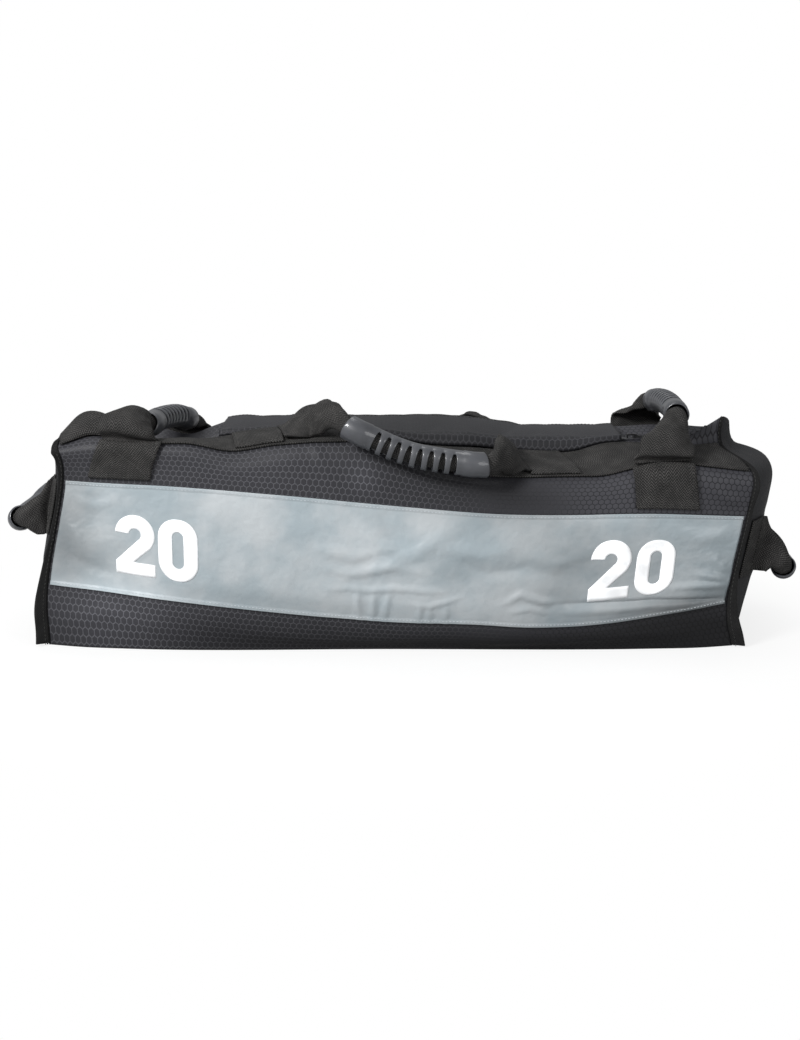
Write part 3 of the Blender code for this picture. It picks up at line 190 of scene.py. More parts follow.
BACK_HANDLE_SHARES = mirrored(
    (
        (-0.323, 0.682, 0.951, 0, 0.25, 0.97), (-0.29, 0.818, 0.96, 0, 0.4, 0.9),
        (-0.257, 0.964, 0.927, 0, 0.7, 0.7), (-0.227, 1.077, 0.852, 0, 0.88, 0.45),
    ),
    (
        (-0.2, 1.105, 0.76, 0, 0.93, 0.38), (-0.133, 1.114, 0.725, 0, 0.93, 0.38),
        (-0.067, 1.116, 0.706, 0, 0.93, 0.38), (0, 1.118, 0.701, 0, 0.93, 0.38),
    ),
    0,
)
LEFT_HANDLE_SHARES = (
    (
        (-0.743, -0.909, 1.035, 0, -1, 0.15), (-0.74, -0.864, 1.086, 0, -0.8, 0.6),
        (-0.73, -0.764, 1.108, 0.05, -0.4, 0.9), (-0.717, -0.645, 1.089, 0.1, -0.15, 0.95),
    ),
    (
        (-0.703, -0.555, 1.043, 0.3, -0.1, 0.92), (-0.69, -0.273, 1.035, 0.38, 0, 0.92),
        (-0.677, 0, 1.027, 0.4, 0, 0.9), (-0.66, 0.273, 1.011, 0.38, 0, 0.9),
        (-0.64, 0.545, 0.976, 0.3, 0.1, 0.92),
    ),
    (
        (-0.64, 0.636, 0.976, 0.15, 0.3, 0.9), (-0.65, 0.773, 0.965, 0.05, 0.6, 0.8),
        (-0.663, 0.891, 0.911, 0, 0.9, 0.4),
    ),
)
RIGHT_HANDLE_SHARES = (
    (
        (0.787, -0.918, 0.922, 0, -1, 0.15), (0.797, -0.873, 0.981, 0.1, -0.9, 0.4),
        (0.813, -0.782, 1.04, 0.2, -0.6, 0.75), (0.828, -0.664, 1.075, 0.25, -0.2, 0.9),
    ),
    (
        (0.837, -0.555, 1.081, 0.3, -0.05, 0.9), (0.843, -0.273, 1.091, 0.3, 0, 0.9),
        (0.847, 0, 1.094, 0.3, 0, 0.9), (0.845, 0.273, 1.089, 0.3, 0, 0.9),
        (0.838, 0.555, 1.067, 0.3, 0.05, 0.9),
    ),
    (
        (0.83, 0.664, 1.051, 0.2, 0.3, 0.9), (0.817, 0.773, 1.013, 0.1, 0.6, 0.75),
        (0.803, 0.864, 0.96, 0.05, 0.9, 0.4),
    ),
)
LEFT_END_HANDLE_SHARES = mirrored(
    (
        (-1.0179, -0.6073, 0.6431, -0.9, -0.305, 0.107), (-1.0565, -0.6109, 0.6165, -0.9, -0.568, 0.394),
    ),
    (
        (-1.0856, -0.5278, 0.5873, -0.9, -0.003, -0.025), (-1.102, -0.273, 0.555, -0.92, -0.05, -0.35),
        (-1.11, 0, 0.547, -0.92, 0, -0.35),
    ),
    1,
)
RIGHT_END_HANDLE_SHARES = mirrored(
    (
        (1.133, -0.6, 0.45, 0.9, -0.3, 0), (1.157, -0.595, 0.41, 0.9, -0.25, -0.15),
    ),
    (
        (1.17, -0.555, 0.358, 0.9, -0.2, -0.3), (1.19, -0.273, 0.329, 0.92, -0.05, -0.35),
        (1.198, 0, 0.318, 0.92, 0, -0.35),
    ),
    1,
)
# Where the handles' sewn tails lie along the bag, as (first, last) in shares of half BAG_LENGTH.
FRONT_TAIL_SHARES = ((-0.447, -0.310), (0.385, 0.525))
BACK_TAIL_SHARES = ((-0.540, -0.360), (0.360, 0.540))
# The cross handles' tails, as (first, last) at their lower edge, then at their upper edge.
LEFT_PATCH_SHARES = (((-0.857, -0.677), (-0.817, -0.640)), ((-0.760, -0.580), (-0.760, -0.580)))
RIGHT_PATCH_SHARES = (((0.705, 0.889), (0.697, 0.870)), ((0.715, 0.890), (0.715, 0.890)))

# The end handles' tails, as heights in shares of BAG_HEIGHT and as shares of the end's width.
LEFT_END_TAIL_SHARES = (0.520, 0.785)
RIGHT_END_TAIL_SHARES = (0.325, 0.605)
END_TAIL_WIDTH_SHARES = (0.95, 0.76)

# %% A smooth curve through a table
def weights(t):
    """Shares of the first value, first slope, last value and last slope, at t from 0 to 1."""
    return 2 * t**3 - 3 * t**2 + 1, t**3 - 2 * t**2 + t, 3 * t**2 - 2 * t**3, t**3 - t**2


def smooth(table, place):
    """Value of the curve through rows of (place, value, ...) at one place or an array of them."""
    table = np.array(table, float)
    places, values = table[:, 0], table[:, 1:]
    slopes = np.gradient(values, places, axis=0)
    place = np.asarray(place, float)
    left = np.clip(np.searchsorted(places, place) - 1, 0, len(places) - 2)
    span = (places[left + 1] - places[left])[..., None]
    a, b, c, d = weights((place - places[left])[..., None] / span)
    value = a * values[left] + b * span * slopes[left] + c * values[left + 1] + d * span * slopes[left + 1]
    return value[..., 0] if value.shape[-1] == 1 else value


def unit(vectors):
    vectors = np.asarray(vectors, float)
    return vectors / np.linalg.norm(vectors, axis=-1, keepdims=True)


def distances(points, axis=0):
    """Distance from the start along a line of points, or the mean of it along a grid's lines."""
    steps = np.linalg.norm(np.diff(points, axis=axis), axis=-1)
    return np.concatenate([[0], np.cumsum(steps if steps.ndim == 1 else steps.mean(1 - axis))])


band_top = float(smooth(BAND_TOP_SHARES, 0.5)) * BAG_HEIGHT
print("height of the band's top at mid length:", round(band_top, 4))

# %% The skin as a formula
def seam_places(row):
    """Where the skin's row begins on the left and ends on the right."""
    return -smooth(LEFT_SEAM_SHARES, row) * BAG_LENGTH / 2, smooth(RIGHT_SEAM_SHARES, row) * BAG_LENGTH / 2


def skin(u, row, side):
    """Point of the skin at a share u of the length and a row counted in seams from the base."""
    u, row = np.broadcast_arrays(np.asarray(u, float), np.asarray(row, float))
    half, high = BAG_DEPTH / 2, BAG_HEIGHT
    same = np.ones(u.shape)
    crest = smooth(CREST_SHARES, u) * high
    strap_depth = smooth(STRAP_DEPTH_SHARES, u) * half
    if side < 0:
        low, top = smooth(BAND_BOTTOM_SHARES, u) * high, smooth(BAND_TOP_SHARES, u) * high
        strap_low = smooth(STRAP_LOW_SHARES, u) * high
        tilt = np.arcsin(smooth(STRAP_TILT_SHARES, u))
        crest = crest + smooth(EAR_SHARES, u) * high
    else:
        low, top = same * BACK_BAND_BOTTOM_SHARE * high, same * BACK_BAND_TOP_SHARE * high
        strap_low = smooth(BACK_STRAP_LOW_SHARES, u) * high
        tilt = same * math.asin(BACK_STRAP_TILT_SHARE)
    inner = strap_depth - WEBBING_WIDTH * np.cos(tilt)
    depths = [
        smooth(BASE_DEPTH_SHARES, u) * half, smooth(LOW_DEPTH_SHARES, u) * half,
        smooth(HIGH_DEPTH_SHARES, u) * half, strap_depth, inner,
        np.minimum(CREST_DEPTH_SHARE * half, inner - CREST_MARGIN), same * OPENING_HALF,
    ]
    strap_high = strap_low + WEBBING_WIDTH * np.sin(tilt)
    heights = [0 * same, low, top, strap_low, strap_high, crest, same * ZIP_LEVEL]
    seams = np.stack([np.stack(depths), np.stack(heights)], axis=-1)
    slopes = np.gradient(seams, axis=0)
    below = np.clip(np.ceil(row).astype(int) - 1, 0, 5)
    parts = ((seams, below), (slopes, below), (seams, below + 1), (slopes, below + 1))
    section = sum(
        weight * np.take_along_axis(table, index[None, ..., None], 0)[0]
        for weight, (table, index) in zip(weights((row - below)[..., None]), parts)
    )
    left, right = seam_places(row)
    x = left + u * (right - left)
    return np.stack([x, side * section[..., 0], np.maximum(section[..., 1], 0)], -1)


def share_at(x, row):
    """The share of the length at which the skin's row stands at x."""
    left, right = seam_places(row)
    return (x - left) / (right - left)


def end_skin(w, row, u, way, bulge):
    """Point of an end panel, at a share w of its width from -1 in front to 1 behind."""
    w, row = np.broadcast_arrays(np.asarray(w, float), np.asarray(row, float))
    mix = w[..., None]
    point = skin(u, row, -1) * (1 - mix) / 2 + skin(u, row, 1) * (1 + mix) / 2
    point[..., 0] += way * (CLOTH + SEAM_GAP + bulge * smooth(BULGE_SHARES, row) * (1 - w * w))
    return point


print("front of the bag, half way up the band:", skin(0.5, 1.5, -1).round(4))

# %% [markdown]
# ## Folds
# Cloth over sand is never smooth. Broad, shallow ripples come from sums of waves in seeded
# directions. The folds that the picture shows, such as the gathers along the band's lower edge,
# are drawn as short lines on the flat cloth, each with a width and a height. Displacing by such a
# formula was chosen over a simulation, because each fold then lands where it was seen.

# %% Ripples and creases
def ripples(flat, seed):
    """Height of the broad ripples of loose cloth, at points on the flat cloth, in metres."""
    chance = np.random.default_rng(seed)
    total = np.zeros(flat.shape[:-1])
    for wave, height, count in ((0.190, 0.0010, 5), (0.085, 0.00042, 6), (0.036, 0.00014, 7)):
        for _ in range(count):
            turn, phase = chance.uniform(0, math.tau), chance.uniform(0, math.tau)
            stretch = chance.uniform(0.75, 1.3)
            along = flat[..., 0] * math.cos(turn) + flat[..., 1] * math.sin(turn)
            total += height / math.sqrt(count) * np.sin(math.tau * along / (wave * stretch) + phase)
    return total


def crease(flat, line, width, height):
    """A fold along a line. The line, width and height are in millimetres on the flat cloth."""
    line = np.array(line, float) / 1000
    steps = np.linalg.norm(np.diff(line, axis=0), axis=1)
    starts = np.concatenate([[0], np.cumsum(steps)])
    nearest = np.full(flat.shape[:-1], 9.0)
    along = np.zeros(flat.shape[:-1])
    for k, step in enumerate(steps):
        run = line[k + 1] - line[k]
        t = np.clip(((flat - line[k]) @ run) / step**2, 0, 1)
        away = np.linalg.norm(flat - line[k] - t[..., None] * run, axis=-1)
        closer = away < nearest
        nearest = np.where(closer, away, nearest)
        along = np.where(closer, (starts[k] + t * step) / starts[-1], along)
    taper = np.sin(math.pi * np.clip(along, 0.03, 0.97)) ** 0.6
    return height / 1000 * np.exp(-((nearest * 1000 / width) ** 2)) * taper


FRONT_FOLDS = (
    (((270, 62), (272, 50), (276, 38)), 2.6, 2.1),
    (((284, 62), (286, 50), (287, 38)), 2.6, 2.1),
    (((298, 62), (297, 50), (297, 38)), 2.5, 1.8),
    (((326, 53), (327, 38)), 2.2, 1.3),
    (((335, 53), (336, 38)), 2.2, 1.4),
    (((349, 54), (350, 38)), 2.2, 1.2),
    (((246, 61), (262, 64), (280, 63), (302, 66), (344, 65)), 2.4, 1.9),
    (((318, 53), (335, 52), (350, 57), (362, 62)), 2.0, 1.4),
    (((396, 56), (411, 66), (428, 61), (446, 59)), 3.0, 2.4),
    (((404, 50), (420, 54), (436, 50)), 2.4, 1.3),
    (((440, 58.5), (482, 56.5), (525, 53.5), (572, 46), (598, 42)), 2.0, -2.8),
    (((440, 51), (482, 50), (525, 48), (575, 41)), 3.4, 1.8),
    (((540, 63), (566, 62), (590, 58), (602, 56)), 3.6, 2.6),
    (((560, 75), (582, 68), (602, 59)), 3.4, 2.4),
    (((572, 92), (590, 75), (602, 62)), 3.6, 1.8),
    (((279, 131), (290, 110), (311, 90), (322, 80)), 7.0, -2.2),
    (((262, 118), (276, 104), (300, 96)), 4.0, 1.5),
    (((345, 120), (318, 98), (290, 84), (262, 74)), 7.0, 2.2),
    (((225, 96), (262, 90), (300, 102)), 5.0, 1.7),
    (((230, 80), (262, 76), (296, 84), (330, 80)), 3.6, 1.5),
    (((348, 92), (380, 82), (410, 88), (440, 80)), 6.0, -2.4),
    (((330, 104), (372, 98), (400, 104)), 6.0, 1.6),
    (((412, 100), (436, 92), (462, 100)), 5.0, 1.5),
    (((30, 128), (36, 100), (48, 80)), 9.0, -2.6),
    (((10, 96), (22, 84), (30, 66)), 5.0, 1.8),
    (((14, 118), (32, 112), (50, 118)), 5.0, 1.6),
    (((12, 66), (40, 56), (70, 52)), 6.0, -1.6),
    (((450, 126), (470, 108), (474, 90)), 10.0, -2.0),
    (((530, 120), (560, 112), (590, 116)), 7.0, 1.5),
    (((150, 120), (200, 104), (240, 112)), 12.0, 1.4),
    (((560, 158), (575, 150), (596, 146)), 4.0, 1.8),
    (((20, 14), (60, 22), (110, 13)), 6.0, 1.6),
    (((70, 30), (84, 18), (92, 8)), 6.0, -1.6),
    (((180, 18), (250, 12), (330, 19)), 6.0, 1.2),
    (((420, 16), (480, 22), (560, 16)), 6.0, 1.2),
    (((222, 172), (226, 160), (240, 148)), 5.0, 1.2),
    (((120, 168), (140, 160), (200, 166)), 5.0, -1.2),
)
BACK_FOLDS = (
    (((120, 60), (180, 70), (250, 64)), 7.0, 1.2),
    (((300, 110), (340, 90), (400, 84)), 8.0, -1.2),
    (((430, 60), (490, 52), (560, 58)), 6.0, 1.3),
    (((60, 100), (90, 80), (100, 60)), 7.0, -1.0),
)
END_FOLDS = (
    (((20, 70), (60, 60), (110, 66)), 7.0, 1.1),
    (((30, 120), (80, 110), (140, 124)), 7.0, -1.2),
    (((90, 20), (130, 30), (165, 24)), 6.0, 1.0),
)
print("drawn folds:", len(FRONT_FOLDS) + len(BACK_FOLDS) + len(END_FOLDS))

# %% [markdown]
# Shade and light are painted into the cloth's colour too: a few broad, soft patches of painted shade
# and painted light, darker along the foot of the front and where the satin band turns from the light.
# Each is a place, two half widths and a strength, and the sum is written on the mesh as its shade.

# %% Broad patches of painted shade and light
# Painted shade on the front: darker along its foot and where the satin band turns from the light, with painted
# light in a few places.
FRONT_PAINTED_SHADE = (
    ((8, 84), 26, 60, -0.46), ((40, 60), 30, 26, -0.26), ((150, 100), 90, 40, 0.03),
    ((455, 96), 46, 22, -0.26), ((440, 66), 30, 14, -0.24), ((352, 84), 26, 12, -0.16),
    ((596, 70), 30, 34, -0.16), ((520, 86), 60, 26, -0.16), ((392, 70), 16, 20, -0.08),
    ((300, 6), 330, 24, -0.66), ((520, 12), 130, 26, -0.80), ((200, 46), 220, 9, -0.17),
    ((280, 104), 70, 26, 0.12), ((560, 42), 60, 12, -0.40),
    ((262, 152), 12, 10, 0.55), ((150, 150), 90, 16, 0.22), ((395, 150), 40, 22, -0.42),
    ((480, 150), 60, 18, 0.12), ((340, 160), 60, 20, -0.35), ((60, 22), 60, 24, 0.95),
)
# Painted shade on the back and the ends: darker towards the base, with a darker and a lighter patch higher up.
BACK_PAINTED_SHADE = (((300, 10), 300, 26, -0.4), ((180, 90), 80, 30, -0.15), ((430, 100), 60, 24, 0.08))
END_PAINTED_SHADE = (((100, 8), 120, 30, -0.4), ((60, 90), 50, 30, 0.15), ((150, 70), 30, 50, -0.2))


def painted_shade_at(flat, patches):
    """The painted shade and light at points on the flat cloth, from patches in millimetres."""
    total = np.zeros(flat.shape[:-1])
    for (x, y), wide, high, strength in patches:
        gone = ((flat[..., 0] * 1000 - x) / wide) ** 2 + ((flat[..., 1] * 1000 - y) / high) ** 2
        total += strength * np.exp(-gone)
    return np.clip(total, -0.8, 0.8)


# Counts the patches of painted shade and light.
print("patches of wear:", len(FRONT_PAINTED_SHADE) + len(BACK_PAINTED_SHADE) + len(END_PAINTED_SHADE))

# %% A fine grid of cloth
class Cloth:
    """A fine grid of points on a panel, folds and all. What is sewn to it is laid on this grid."""

    def __init__(self, columns, rows, shape, turn, seed, folds, painted_shade, edge=0.014):
        # Besides its folds, the panel keeps its patches of painted shade and light.
        self.columns, self.rows, self.turn, self.painted_shade = np.array(columns), np.array(rows), turn, painted_shade
        points = shape(self.columns[:, None], self.rows[None, :])
        self.across, self.up = distances(points, 0), distances(points, 1)
        flat = np.stack(np.meshgrid(self.across, self.up, indexing="ij"), -1)
        height = ripples(flat, seed) + sum(crease(flat, *fold) for fold in folds)
        ends = np.minimum(self.across, self.across[-1] - self.across) / edge
        tops = np.minimum(self.up, self.up[-1] - self.up) / edge
        fade = np.clip(ends, 0, 1)[:, None] ** 0.7 * np.clip(tops, 0, 1)[None, :]
        points = points + self.outward(points) * (height * fade)[..., None]
        points[..., 2] = np.maximum(points[..., 2], 0.0)
        self.points, self.normals = points, self.outward(points)

    def outward(self, points):
        return unit(np.cross(np.gradient(points, axis=0), np.gradient(points, axis=1))) * self.turn

    def at(self, column, row, lift=0.0):
        """Point on the cloth at a column and a row, at a height over it."""
        column, row, lift = np.broadcast_arrays(*(np.asarray(v, float) for v in (column, row, lift)))
        i = np.clip(np.searchsorted(self.columns, column) - 1, 0, len(self.columns) - 2)
        j = np.clip(np.searchsorted(self.rows, row) - 1, 0, len(self.rows) - 2)
        a = ((column - self.columns[i]) / (self.columns[i + 1] - self.columns[i]))[..., None]
        b = ((row - self.rows[j]) / (self.rows[j + 1] - self.rows[j]))[..., None]
        height = lift[..., None]

        def corner(di, dj):
            return self.points[i + di, j + dj] + self.normals[i + di, j + dj] * height

        near, far = (corner(0, j_step) * (1 - a) + corner(1, j_step) * a for j_step in (0, 1))
        return near * (1 - b) + far * b

    def flat(self, column, row):
        """Where a point lies on the flat cloth, in metres."""
        column, row = np.broadcast_arrays(np.asarray(column, float), np.asarray(row, float))
        across, up = np.interp(column, self.columns, self.across), np.interp(row, self.rows, self.up)
        return np.stack([across, up], -1)

    def lines(self, flat):
        """Column and row of points given on the flat cloth in metres."""
        flat = np.asarray(flat, float)
        column = np.interp(flat[..., 0], self.across, self.columns)
        return column, np.interp(flat[..., 1], self.up, self.rows)


def seam_rows(counts):
    """Rows from seam to seam, with that many steps between each two."""
    return np.unique(np.concatenate([np.linspace(k, k + 1, n + 1) for k, n in enumerate(counts)]))


LEFT_BULGE, RIGHT_BULGE = 0.018, 0.034
front = Cloth(
    np.linspace(0, 1, 341), seam_rows((24, 62, 18, 20, 9, 10)),
    lambda u, r: skin(u, r, -1), 1, 3, FRONT_FOLDS, FRONT_PAINTED_SHADE,
)
back = Cloth(
    np.linspace(0, 1, 201), seam_rows((16, 34, 14, 18, 8, 10)),
    lambda u, r: skin(u, r, 1), -1, 8, BACK_FOLDS, BACK_PAINTED_SHADE,
)
left_end, right_end = (
    Cloth(
        np.linspace(-1, 1, 81), seam_rows((14, 30, 12, 12, 6)),
        lambda w, r, u=u, way=way, bulge=bulge: end_skin(w, r, u, way, bulge),
        way, seed, END_FOLDS, END_PAINTED_SHADE, 0.02,
    )
    for u, way, bulge, seed in ((0, -1, LEFT_BULGE, 5), (1, 1, RIGHT_BULGE, 6))
)
print("flat front panel:", round(front.across[-1], 3), "by", round(front.up[-1], 3), "m")

# %% [markdown]
# ## Writing materials
# A material is easier to read as arithmetic than as a list of links. One small class wraps a
# socket, and adding, multiplying or comparing two of them adds the Math node that does it. One
# method adds any other node from its type, its settings and its inputs.

# %% A socket that can be calculated with
class Wire:
    """An output socket in a node tree, with operators that add Math nodes."""

    def __init__(self, recipe, socket):
        self.recipe, self.socket = recipe, socket

    def math(self, operation, *others):
        return self.recipe.node("ShaderNodeMath", {"operation": operation}, dict(enumerate((self, *others))))

    def __add__(self, other): return self.math("ADD", other)
    def __sub__(self, other): return self.math("SUBTRACT", other)
    def __rsub__(self, other): return self.recipe.number(other, "SUBTRACT", self)
    def __mul__(self, other): return self.math("MULTIPLY", other)
    def __truediv__(self, other): return self.math("DIVIDE", other)
    def __rtruediv__(self, other): return self.recipe.number(other, "DIVIDE", self)
    def __gt__(self, other): return self.math("GREATER_THAN", other)
    def __lt__(self, other): return self.math("LESS_THAN", other)
    __radd__ = __add__
    __rmul__ = __mul__

    def wave(self, period):
        return (self * (math.tau / period)).math("SINE") * 0.5 + 0.5

    def cell(self):
        """Distance from the middle of the unit cell that holds the value, from -0.5 to 0.5."""
        return self - self.math("FLOOR") - 0.5

    def ramp(self, low, high, out_low=0.0, out_high=1.0):
        return self.recipe.node(
            "ShaderNodeMapRange", {"interpolation_type": "SMOOTHSTEP"},
            {"Value": self, "From Min": low, "From Max": high, "To Min": out_low, "To Max": out_high},
        )


class Recipe:
    """A material under construction."""

    def __init__(self, name, **sockets):
        self.material = bpy.data.materials.new(name)
        self.material.use_nodes = True
        self.tree = self.material.node_tree
        self.shader = self.tree.nodes["Principled BSDF"]
        for socket, value in sockets.items():
            self.shader.inputs[socket.replace("_", " ")].default_value = value

    def node(self, kind, settings, inputs, output=0):
        made = self.tree.nodes.new(kind)
        for name, value in settings.items():
            setattr(made, name, value)
        for name, value in inputs.items():
            if isinstance(value, Wire):
                self.tree.links.new(value.socket, made.inputs[name])
            else:
                made.inputs[name].default_value = value
        return Wire(self, made.outputs[output])

    def number(self, value, operation, wire):
        return self.node("ShaderNodeMath", {"operation": operation}, {0: float(value), 1: wire})

    def uv(self):
        """Place on the flat cloth, in metres: two wires."""
        place = self.flat_vector()
        return tuple(self.node("ShaderNodeSeparateXYZ", {}, {0: place}, k) for k in (0, 1))

    def flat_vector(self):
        """Place on the flat cloth, in metres: one wire."""
        return self.node("ShaderNodeUVMap", {"uv_map": "cloth"}, {})

    def place(self):
        return self.node("ShaderNodeTexCoord", {}, {}, 3)

    def noise(self, vector, scale, detail=2.0, rough=0.55):
        return self.node(
            "ShaderNodeTexNoise", {}, {"Vector": vector, "Scale": scale, "Detail": detail, "Roughness": rough}
        )

    def mix(self, factor, first, second):
        made = self.tree.nodes.new("ShaderNodeMix")
        made.data_type = "RGBA"
        for index, value in ((0, factor), (6, first), (7, second)):
            if isinstance(value, Wire):
                self.tree.links.new(value.socket, made.inputs[index])
            else:
                made.inputs[index].default_value = value if index == 0 else (*value, 1.0)
        return Wire(self, made.outputs[2])

    def toned(self, colour):
        """The colour, darker or lighter by the painted shade and light that are written on the mesh as its
        shade.
        """
        shade = self.node("ShaderNodeAttribute", {"attribute_name": "shade"}, {}, 2)
        return self.node("ShaderNodeHueSaturation", {}, {"Color": colour, "Value": shade + 1.0})

    def feed(self, socket, wire):
        self.tree.links.new(wire.socket, self.shader.inputs[socket])

    def bump(self, height, distance, strength=1.0):
        sockets = {"Height": height, "Distance": distance, "Strength": strength}
        self.feed("Normal", self.node("ShaderNodeBump", {}, sockets))


print("materials are written with", Wire.__name__, "and", Recipe.__name__)

# %% [markdown]
# ## The patterned cloth
# The panels are a coated cloth with a small embossed honeycomb, about 5 mm from cell to cell. The
# distance to the edge of a hexagon needs two square lattices, one shifted by half a cell: whichever
# centre is nearer owns the point. It reads the flat cloth's own coordinates, so it follows folds.

# %% Honeycomb cloth
HEX_PITCH = 0.0051

def honeycomb(recipe, pitch):
    """How near a point is to a hexagon's edge: 0 in the middle of a cell and 0.5 on its edge."""
    across, up = recipe.uv()
    x, y = across / pitch, up / (pitch * math.sqrt(3))
    ax, ay = x.cell(), y.cell() * math.sqrt(3)
    bx, by = (x + 0.5).cell(), (y + 0.5).cell() * math.sqrt(3)
    nearer = (ax * ax + ay * ay) < (bx * bx + by * by)
    gx = (bx + nearer * (ax - bx)).math("ABSOLUTE")
    gy = (by + nearer * (ay - by)).math("ABSOLUTE")
    return gx.math("MAXIMUM", gx * 0.5 + gy * (math.sqrt(3) / 2))


def hex_cloth():
    recipe = Recipe("hex_cloth", Roughness=0.55, Specular_IOR_Level=0.25)
    edge = honeycomb(recipe, HEX_PITCH).ramp(0.395, 0.465)
    flat = recipe.flat_vector()
    along, _ = recipe.uv()
    # Near the left end the honeycomb's lines are painted lighter than its cells, a painted highlight on the
    # raised lines; towards the right end they are painted darker, a painted shade. patches blends from one to
    # the other along the cloth, with some noise.
    patches = (recipe.noise(flat, 11.0, 2.0) * 0.30 + along * 1.6).ramp(0.62, 0.92)
    grain = recipe.noise(flat, 1500.0, 1.0)
    cells = recipe.mix(patches, (0.026, 0.026, 0.030), (0.046, 0.046, 0.053))
    lines = recipe.mix(patches, (0.066, 0.066, 0.074), (0.017, 0.017, 0.020))
    recipe.feed("Base Color", recipe.toned(recipe.mix(edge, cells, lines)))
    recipe.feed("Roughness", edge * 0.14 + grain * 0.12 + 0.44)
    recipe.bump(edge * -0.7 + grain * 0.35, 0.0003, 0.8)
    return recipe.material


HEX = hex_cloth()
print("honeycomb pitch", HEX_PITCH * 1000, "mm")

# %% [markdown]
# ## Webbing
# Flat webbing is woven in a herringbone: slanted ridges that turn back every few millimetres. A
# wave along the strap is pushed sideways by a zigzag across it. The threads are nearly black,
# with a brown cast where they catch the light.

# %% Webbing and binding
def webbing(name, rib, lane, light, dark, rough=0.78):
    recipe = Recipe(name, Roughness=rough, Specular_IOR_Level=0.2)
    across, along = recipe.uv()
    zigzag = (across / lane).cell().math("ABSOLUTE") * 2.0
    ridges = (along / rib + zigzag * (lane / rib * 0.5)).wave(1.0)
    threads = across.wave(rib * 0.55)
    worn = recipe.noise(recipe.flat_vector(), 60.0, 3.0).ramp(0.35, 0.7)
    shine = ridges * threads
    recipe.feed("Base Color", recipe.mix(shine * (worn * 0.5 + 0.5), dark, light))
    recipe.feed("Roughness", shine * -0.15 + rough)
    crumple = recipe.noise(recipe.flat_vector(), 75.0, 3.0)
    recipe.bump(ridges * 0.14 + threads * 0.06 + crumple, 0.0022, 0.9)
    return recipe.material


WEB = webbing("webbing", 0.0021, 0.0072, (0.135, 0.129, 0.124), (0.008, 0.008, 0.008))
TAPE = webbing("binding", 0.0014, 0.0200, (0.032, 0.032, 0.032), (0.008, 0.008, 0.008))
ZIP_TAPE = webbing("zip_tape", 0.0011, 0.0028, (0.026, 0.026, 0.028), (0.008, 0.008, 0.009))
print("three woven finishes")

# %% [markdown]
# ## The satin band and the plain cloths
# The band is a smooth, blue-grey coated satin. Light does most of its work: it is glossy enough to
# show every gather. Its colour drifts a little, and the painted shade and light written on the mesh
# darken and lighten it in places. The ends and base are plain black cloth.

# %% Satin, plain cloth, lining and closure
def satin():
    recipe = Recipe("grey_band", Roughness=0.40)
    flat = recipe.flat_vector()
    cloudy = recipe.noise(flat, 13.0, 4.0, 0.6).ramp(0.34, 0.66)
    grain = recipe.noise(flat, 2600.0, 1.0)
    colour = recipe.mix(cloudy, (0.300, 0.350, 0.376), (0.415, 0.443, 0.458))
    # The band's colour also takes the painted shade and light written on the mesh.
    recipe.feed("Base Color", recipe.toned(colour))
    recipe.feed("Roughness", cloudy * 0.08 + grain * 0.16 + 0.30)
    recipe.bump(grain * 0.02 + recipe.noise(flat, 34.0, 3.0), 0.0030, 0.8)
    return recipe.material


def plain(name, light, dark, rough, scale=900.0):
    recipe = Recipe(name, Roughness=rough, Specular_IOR_Level=0.25)
    across, up = recipe.uv()
    weave = across.wave(0.0009) * up.wave(0.0009)
    worn = recipe.noise(recipe.flat_vector(), 22.0, 3.0).ramp(0.3, 0.7)
    recipe.feed("Base Color", recipe.toned(recipe.mix(weave * 0.5 + worn * 0.5, dark, light)))
    recipe.feed("Roughness", worn * 0.12 + rough - 0.06)
    rough_weave = weave + recipe.noise(recipe.flat_vector(), scale, 2.0) * 0.5
    recipe.bump(rough_weave * 0.08 + recipe.noise(recipe.flat_vector(), 40.0, 3.0), 0.0020, 0.8)
    return recipe.material


SATIN = satin()
PLAIN = plain("plain_cloth", (0.028, 0.028, 0.031), (0.011, 0.011, 0.012), 0.62)
LINING = plain("filler_cloth", (0.13, 0.13, 0.14), (0.08, 0.08, 0.09), 0.75)
CLOSURE = plain("hook_and_loop", (0.030, 0.030, 0.031), (0.008, 0.008, 0.008), 0.92, 2600.0)
print("band, plain cloth, lining and hook-and-loop finishes")

# %% [markdown]
# ## Rubber, metal, thread, sand
# Grips are satin rubber with a fine grain, the slider and its stops are black enamel on metal that
# shows through at its edges, and the numerals are a white film. These read Object coordinates,
# because they need no direction.

# %% The harder finishes
def moulded(name, colour, rough, grain_scale, depth, coat=0.0, metallic=0.0, worn=None):
    recipe = Recipe(name, Roughness=rough, Metallic=metallic, Coat_Weight=coat)
    place = recipe.place()
    grain = recipe.noise(place, grain_scale, 3.0)
    cloud = recipe.noise(place, 45.0, 3.0).ramp(0.3, 0.7)
    lighter = tuple(v * 1.35 + 0.004 for v in colour)
    tint = recipe.mix(cloud, colour, lighter)
    if worn:
        tint = recipe.mix(recipe.noise(place, 420.0, 3.0).ramp(0.60, 0.72), tint, worn)
    recipe.feed("Base Color", tint)
    recipe.feed("Roughness", cloud * 0.10 + grain * 0.10 + rough - 0.08)
    recipe.bump(grain, depth, 0.6)
    return recipe.material


